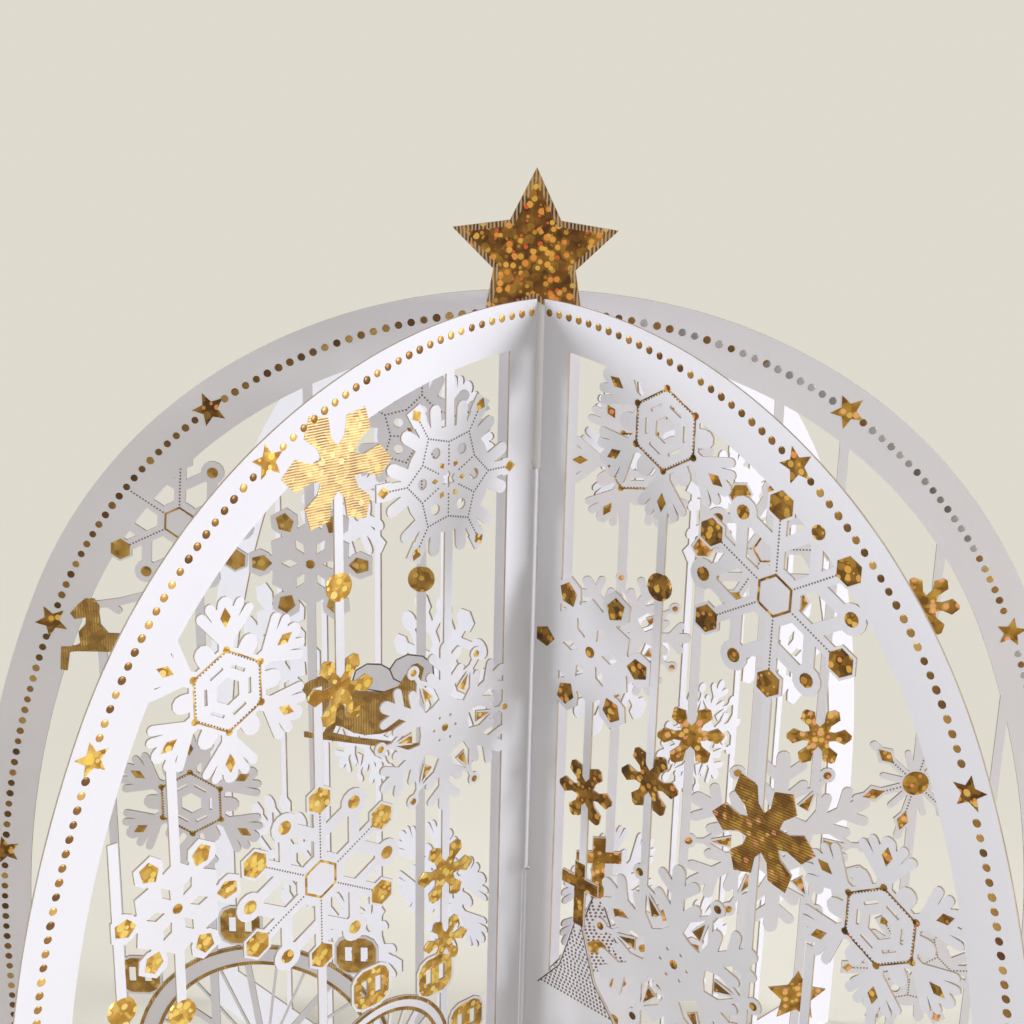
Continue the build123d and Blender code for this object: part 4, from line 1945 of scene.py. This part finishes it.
@dataclass(frozen=True)
class Lamp:
    """Soft round lamp that faces the card: its place, the width of its face, its power and colour."""

    name: str
    place: Triple
    size: float
    power: float
    colour: Colour
    aim: Triple = (0.0, 0.0, 0.07)

    def build(self) -> None:
        """Adds the lamp."""
        data = bpy.data.lights.new(self.name, "AREA")
        data.shape = "DISK"
        data.size = self.size
        data.energy = self.power
        data.color = self.colour
        lamp = bpy.data.objects.new(self.name, data)
        lamp.location = self.place
        lamp.rotation_euler = (Vector(self.aim) - Vector(self.place)).to_track_quat("-Z", "Y").to_euler()
        bpy.context.scene.collection.objects.link(lamp)


LAMPS = (
    Lamp("key", (1.46, -0.18, 0.95), 0.7, 19.0, (0.965, 0.965, 1.0)),
    Lamp("fill", (-1.5, 0.12, 0.75), 0.9, 26.0, (0.94, 0.955, 1.0)),
    Lamp("front", (0.64, -0.32, 0.12), 0.22, 1.65, (0.97, 0.97, 1.0)),
)


@dataclass(frozen=True)
class Studio:
    """Floor, surroundings and camera, in metres and degrees."""

    floor_reach: float = 6.0
    floor_colour: Colour = (0.78, 0.75, 0.65)
    floor_shade: float = 0.98
    floor_patch: float = 0.4
    floor_roughness: float = 0.9
    background: Colour = (0.735, 0.705, 0.615)
    near: float = 0.075
    far: float = 0.20
    surroundings: Colour = (1.0, 0.96, 0.91)
    surroundings_strength: float = 0.30
    camera_place: Triple = (0.0, -0.1888, 0.1685)
    camera_pitch: float = 17.2
    camera_yaw: float = -0.9
    camera_roll: float = 1.3
    focal_pixels: float = 1547.0
    image_pixels: float = 1024.0
    sensor: float = 36.0
    clip: tuple[float, float] = (0.005, 50.0)

    def floor(self) -> None:
        """Makes the plain floor."""
        reach = self.floor_reach
        data = bpy.data.meshes.new("floor")
        corners = [(-reach, -reach, 0.0), (reach, -reach, 0.0), (reach, reach, 0.0), (-reach, reach, 0.0)]
        data.from_pydata(corners, [], [(0, 1, 2, 3)])
        floor = bpy.data.objects.new("floor", data)
        bpy.context.scene.collection.objects.link(floor)
        surface = Surface("floor")
        nodes = surface.nodes
        shade = tuple(channel * self.floor_shade for channel in self.floor_colour)
        colour = nodes.mix(surface.noise(self.floor_patch, 1.0), shade, self.floor_colour)
        surface.set(Base_Color=colour, Roughness=self.floor_roughness)
        sockets = {0: surface.place.outputs["Object"]}
        distance = nodes.value("ShaderNodeVectorMath", "Value", {"operation": "LENGTH"}, sockets)
        settings = {"interpolation_type": "SMOOTHSTEP"}
        sockets = {"Value": distance, "From Min": self.near, "From Max": self.far}
        share = nodes.value("ShaderNodeMapRange", "Result", settings, sockets)
        glow = nodes.add("ShaderNodeEmission", None, {"Color": (*self.background, 1.0), "Strength": 1.0})
        sockets = {0: share, 1: surface.shader.outputs[0], 2: glow.outputs[0]}
        mixed = nodes.add("ShaderNodeMixShader", None, sockets)
        nodes.feed(nodes.tree.nodes["Material Output"].inputs["Surface"], mixed.outputs[0])
        data.materials.append(surface.material)

    def world(self) -> None:
        """Makes the surroundings: soft light, and the plain background where the camera or gloss sees it."""
        world = bpy.data.worlds.new("surroundings")
        world.use_nodes = True
        bpy.context.scene.world = world
        nodes = Nodes(world.node_tree)
        nodes.tree.nodes.clear()
        path = nodes.add("ShaderNodeLightPath")
        seen = Value(nodes, path.outputs["Is Camera Ray"]) + Value(nodes, path.outputs["Is Glossy Ray"])
        seen = seen + Value(nodes, path.outputs["Is Transmission Ray"])
        light = nodes.add("ShaderNodeBackground", None, {
            "Color": (*self.surroundings, 1.0), "Strength": self.surroundings_strength})
        view = nodes.add("ShaderNodeBackground", None, {"Color": (*self.background, 1.0), "Strength": 1.0})
        sockets = {0: seen.least(1.0), 1: light.outputs[0], 2: view.outputs[0]}
        mixed = nodes.add("ShaderNodeMixShader", None, sockets)
        nodes.add("ShaderNodeOutputWorld", None, {0: mixed.outputs[0]})

    def camera(self) -> None:
        """Sets the camera at the photograph's viewing angle."""
        yaw, pitch, roll = radians(self.camera_yaw), radians(self.camera_pitch), radians(self.camera_roll)
        right = Vector((cos(yaw), -sin(yaw), 0.0))
        ahead = Vector((sin(yaw), cos(yaw), 0.0))
        up = ahead * sin(pitch) + Vector((0.0, 0.0, cos(pitch)))
        forward = ahead * cos(pitch) - Vector((0.0, 0.0, sin(pitch)))
        turned_right = right * cos(roll) + up * sin(roll)
        turned_up = up * cos(roll) - right * sin(roll)
        data = bpy.data.cameras.new("camera")
        data.sensor_width = self.sensor
        data.lens = self.sensor * self.focal_pixels / self.image_pixels
        data.clip_start, data.clip_end = self.clip
        camera = bpy.data.objects.new("camera", data)
        matrix = Matrix((turned_right, turned_up, -forward)).transposed().to_4x4()
        matrix.translation = Vector(self.camera_place)
        camera.matrix_world = matrix
        bpy.context.scene.collection.objects.link(camera)
        bpy.context.scene.camera = camera

    def build(self) -> None:
        """Sets up the whole studio."""
        self.floor()
        self.world()
        for lamp in LAMPS:
            lamp.build()
        self.camera()
        bpy.context.scene.view_settings.view_transform = "Standard"


# --------------------------------------------------------------------------------------
# The card


FRONT_LEFT = Leaf(
    -1,
    (
        Flake(Kind.PETAL, 0.423, 0.891, 0.104, 0.0, Cover.LIGHT_HATCH),
        Flake(Kind.NET, 0.200, 0.861, 0.152),
        Flake(Kind.BLOOM, 0.423, 0.691, 0.065, 0.0, Cover.GLITTER),
        Flake(Kind.FERN, 0.633, 0.721, 0.155, 30.0),
        Flake(Kind.KITE, 0.736, 0.541, 0.115),
        Flake(Kind.SPOKE, 0.468, 0.515, 0.178, 30.0),
        Flake(Kind.BRANCH, 0.203, 0.621, 0.160, 30.0),
        Flake(Kind.BLOOM, 0.198, 0.469, 0.062, 0.0, Cover.GLITTER),
        Flake(Kind.BLOOM, 0.196, 0.393, 0.050, 0.0, Cover.GLITTER),
    ),
    ((0.423, 0.95, 0.68), (0.468, 0.70), (0.198, 0.97), (0.736, 0.68), (0.838, 0.62)),
    ((0.423, 0.786), (0.736, 0.440), (0.838, 0.466)),
)
FRONT_RIGHT = Leaf(
    1,
    (
        Flake(Kind.FERN, 0.281, 0.918, 0.155, 30.0),
        Flake(Kind.SPOKE, 0.511, 0.801, 0.178, 30.0),
        Flake(Kind.KITE, 0.141, 0.691, 0.137),
        Flake(Kind.BLOOM, 0.143, 0.547, 0.062, 0.0, Cover.GLITTER),
        Flake(Kind.BLOOM, 0.286, 0.587, 0.062, 0.0, Cover.GLITTER),
        Flake(Kind.PETAL, 0.523, 0.585, 0.100, 0.0, Cover.DARK_HATCH),
        Flake(Kind.BRANCH, 0.361, 0.413, 0.195, 30.0),
        Flake(Kind.FERN, 0.747, 0.547, 0.155, 30.0),
    ),
    ((0.285, 0.90), (0.511, 0.90), (0.143, 0.69, 0.36), (0.747, 0.54), (0.629, 0.50)),
    ((0.285, 0.776),),
)
SIDE_LEFT = Leaf(
    -1,
    (
        Flake(Kind.SPOKE, 0.630, 0.790, 0.145, 26.0),
        Flake(Kind.KITE, 0.398, 0.752, 0.112),
        Flake(Kind.NET, 0.200, 0.880, 0.130, 30.0),
        Flake(Kind.FERN, 0.630, 0.495, 0.145, 30.0),
    ),
    ((0.398, 0.94, 0.38), (0.200, 0.97), (0.780, 0.66), (0.600, 0.74)),
    ((0.200, 0.740),),
)
SIDE_RIGHT = Leaf(
    1,
    (
        Flake(Kind.FERN, 0.177, 0.862, 0.130),
        Flake(Kind.BRANCH, 0.157, 0.687, 0.130),
        Flake(Kind.BLOOM, 0.297, 0.585, 0.062, 0.0, Cover.GLITTER),
        Flake(Kind.BLOOM, 0.531, 0.588, 0.060, 0.0, Cover.GLITTER),
        Flake(Kind.BLOOM, 0.700, 0.727, 0.060, 0.0, Cover.GLITTER),
        Flake(Kind.SPOKE, 0.414, 0.780, 0.140),
        Flake(Kind.BRANCH, 0.470, 0.470, 0.190, 30.0),
        Flake(Kind.SPARK, 0.716, 0.541, 0.120, 18.0),
        Flake(Kind.NET, 0.745, 0.330, 0.135),
        Flake(Kind.KITE, 0.230, 0.345, 0.115),
    ),
    ((0.297, 0.95), (0.531, 0.92), (0.716, 0.83), (0.157, 0.97, 0.40), (0.860, 0.66), (0.414, 0.94)),
    ((0.716, 0.541),),
)
BACK_FLAKES = (
    Flake(Kind.FERN, 0.230, 0.860, 0.130),
    Flake(Kind.NET, 0.530, 0.760, 0.150, 30.0),
    Flake(Kind.BRANCH, 0.480, 0.500, 0.130),
    Flake(Kind.SPOKE, 0.230, 0.620, 0.145),
    Flake(Kind.KITE, 0.740, 0.560, 0.135),
    Flake(Kind.FERN, 0.230, 0.360, 0.145, 30.0),
    Flake(Kind.SPOKE, 0.740, 0.290, 0.145, 30.0),
    Flake(Kind.NET, 0.480, 0.230, 0.135),
)
BACK_STRIPS = ((0.230, 0.98), (0.420, 0.95), (0.590, 0.88), (0.740, 0.80))
BACK_RIGHT = Leaf(1, BACK_FLAKES, BACK_STRIPS)
BACK_LEFT = Leaf(-1, BACK_FLAKES, BACK_STRIPS)

FRONT_BORDER: tuple[Point, ...] = ((0.0, 1.55), (20.0, 2.1), (45.0, 2.5), (90.0, 2.6))
SIDE_BORDER: tuple[Point, ...] = ((0.0, 2.6), (20.0, 3.1), (45.0, 3.4), (90.0, 3.4))
BIG_WHEEL = Wheel((-36.6, 26.8), 18.7)
SMALL_WHEEL = Wheel((-24.5, 37.5), 11.0)
CHURCH = Church()
LEAF_TURN = 43.0
HALF_TURN = 180.0
SIDE_INNER = 3.6
FRONT_INNER = 4.2
# Painted warm shade: the side sheet is the same white card, made warmer for the shade inside the dome.
SIDE_WARM_SHADE_COLOUR: Colour = (0.80, 0.78, 0.80)
SMALL_STAR = StripStar((38.56, 39.9))
RIGHT_STARS = (25.5, 50.0, 71.0)
SIDE_LEFT_STARS = (27.5, 50.5, 72.5)
SIDE_RIGHT_STARS = (25.5, 49.0, 71.5)
SLOT_HALF = 0.8
UPPER_JOINT = 116.0
LOWER_JOINT = 59.0
RELIEF_RADIUS = 1.1
BEYOND = 5.0
STAR_SHARE = 0.999


def main() -> None:
    """Builds the card's sheets, foil and engraving, then the studio."""
    logging.basicConfig(level=logging.INFO, format="%(name)s %(message)s")
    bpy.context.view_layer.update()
    finishes, trees, dome = Finishes(), Trees(), Dome()
    crown = CrownStar(Face("side", 0.0), Face("side_back", HALF_TURN))
    high, half = dome.crown_height + BEYOND, SLOT_HALF
    below_upper, above_upper = box(-half, half, -BEYOND, UPPER_JOINT), box(-half, half, UPPER_JOINT, high)
    below_lower, above_lower = box(-half, half, -BEYOND, LOWER_JOINT), box(-half, half, LOWER_JOINT, high)
    relief_height = UPPER_JOINT + RELIEF_RADIUS * cos(radians(ARM_STEP / 2))
    relief = moved(ring_points(RELIEF_RADIUS, ARMS), 0.0, relief_height)
    left_figures, right_figures = (BIG_WHEEL, Sleigh(), Reindeer()), (CHURCH, SMALL_STAR)

    Sheet(
        "side_sheet", Face("side", 0.0), dome, (SIDE_LEFT, SIDE_RIGHT), left_figures + right_figures,
        SIDE_BORDER, SIDE_INNER, (below_upper,), (crown.outline(1, STAR_SHARE),), SIDE_WARM_SHADE_COLOUR,
    ).build()
    Sheet(
        "left_front_sheet", Face("left_front", LEAF_TURN), dome, (FRONT_LEFT, BACK_RIGHT), (SMALL_WHEEL,),
        FRONT_BORDER, FRONT_INNER, (above_upper, below_lower, relief),
    ).build()
    Sheet(
        "right_front_sheet", Face("right_front", -LEAF_TURN), dome, (FRONT_RIGHT, BACK_LEFT), (CHURCH,),
        FRONT_BORDER, FRONT_INNER, (above_lower,),
    ).build()

    left, right = Face("front_left", LEAF_TURN), Face("front_right", -LEAF_TURN)
    side_left, side_right = Face("side_left", 0.0), Face("side_right", 0.0)
    back_right = Face("back_right", HALF_TURN + LEAF_TURN)
    back_left = Face("back_left", HALF_TURN - LEAF_TURN)
    # The tones and gains paint the light and shade of each face into its foil and dots.
    for row in (
        ArchRow(left, -1, dome, seed=3, tone=Tone.LIT, silver=0.15),
        ArchRow(right, 1, dome, seed=5, tone=Tone.HALF_SHADED, silver=0.25, painted_shade_gain=0.7, star_places=RIGHT_STARS),
        ArchRow(
            side_left, -1, dome, seed=8, tone=Tone.HALF_SHADED, silver=0.05, painted_shade_gain=0.5, star_places=SIDE_LEFT_STARS,
        ),
        ArchRow(
            side_right, 1, dome, seed=9, tone=Tone.ROSY_LIT, silver=0.5, painted_shade_gain=0.9, star_places=SIDE_RIGHT_STARS,
        ),
    ):
        row.build(trees, finishes)
    for back, side, seed in ((back_right, -1, 11), (back_left, 1, 12)):
        ArchRow(back, side, dome, seed=seed, tone=Tone.LIT, silver=0.3).build(trees, finishes)
        Lattice(back, Leaf(side, BACK_FLAKES, BACK_STRIPS), dome, Tone.LIT).build(trees, finishes)
    for lattice in (
        Lattice(left, FRONT_LEFT, dome, Tone.LIT, (SMALL_WHEEL,)),
        Lattice(right, FRONT_RIGHT, dome, Tone.HALF_SHADED, (CHURCH,)),
        Lattice(side_left, SIDE_LEFT, dome, Tone.SHADOWED, left_figures),
        Lattice(side_right, SIDE_RIGHT, dome, Tone.ROSY_LIT, right_figures),
    ):
        lattice.build(trees, finishes)
    crown.build(finishes)
    Studio().build()

    bpy.context.view_layer.update()


if __name__ == "__main__":
    main()
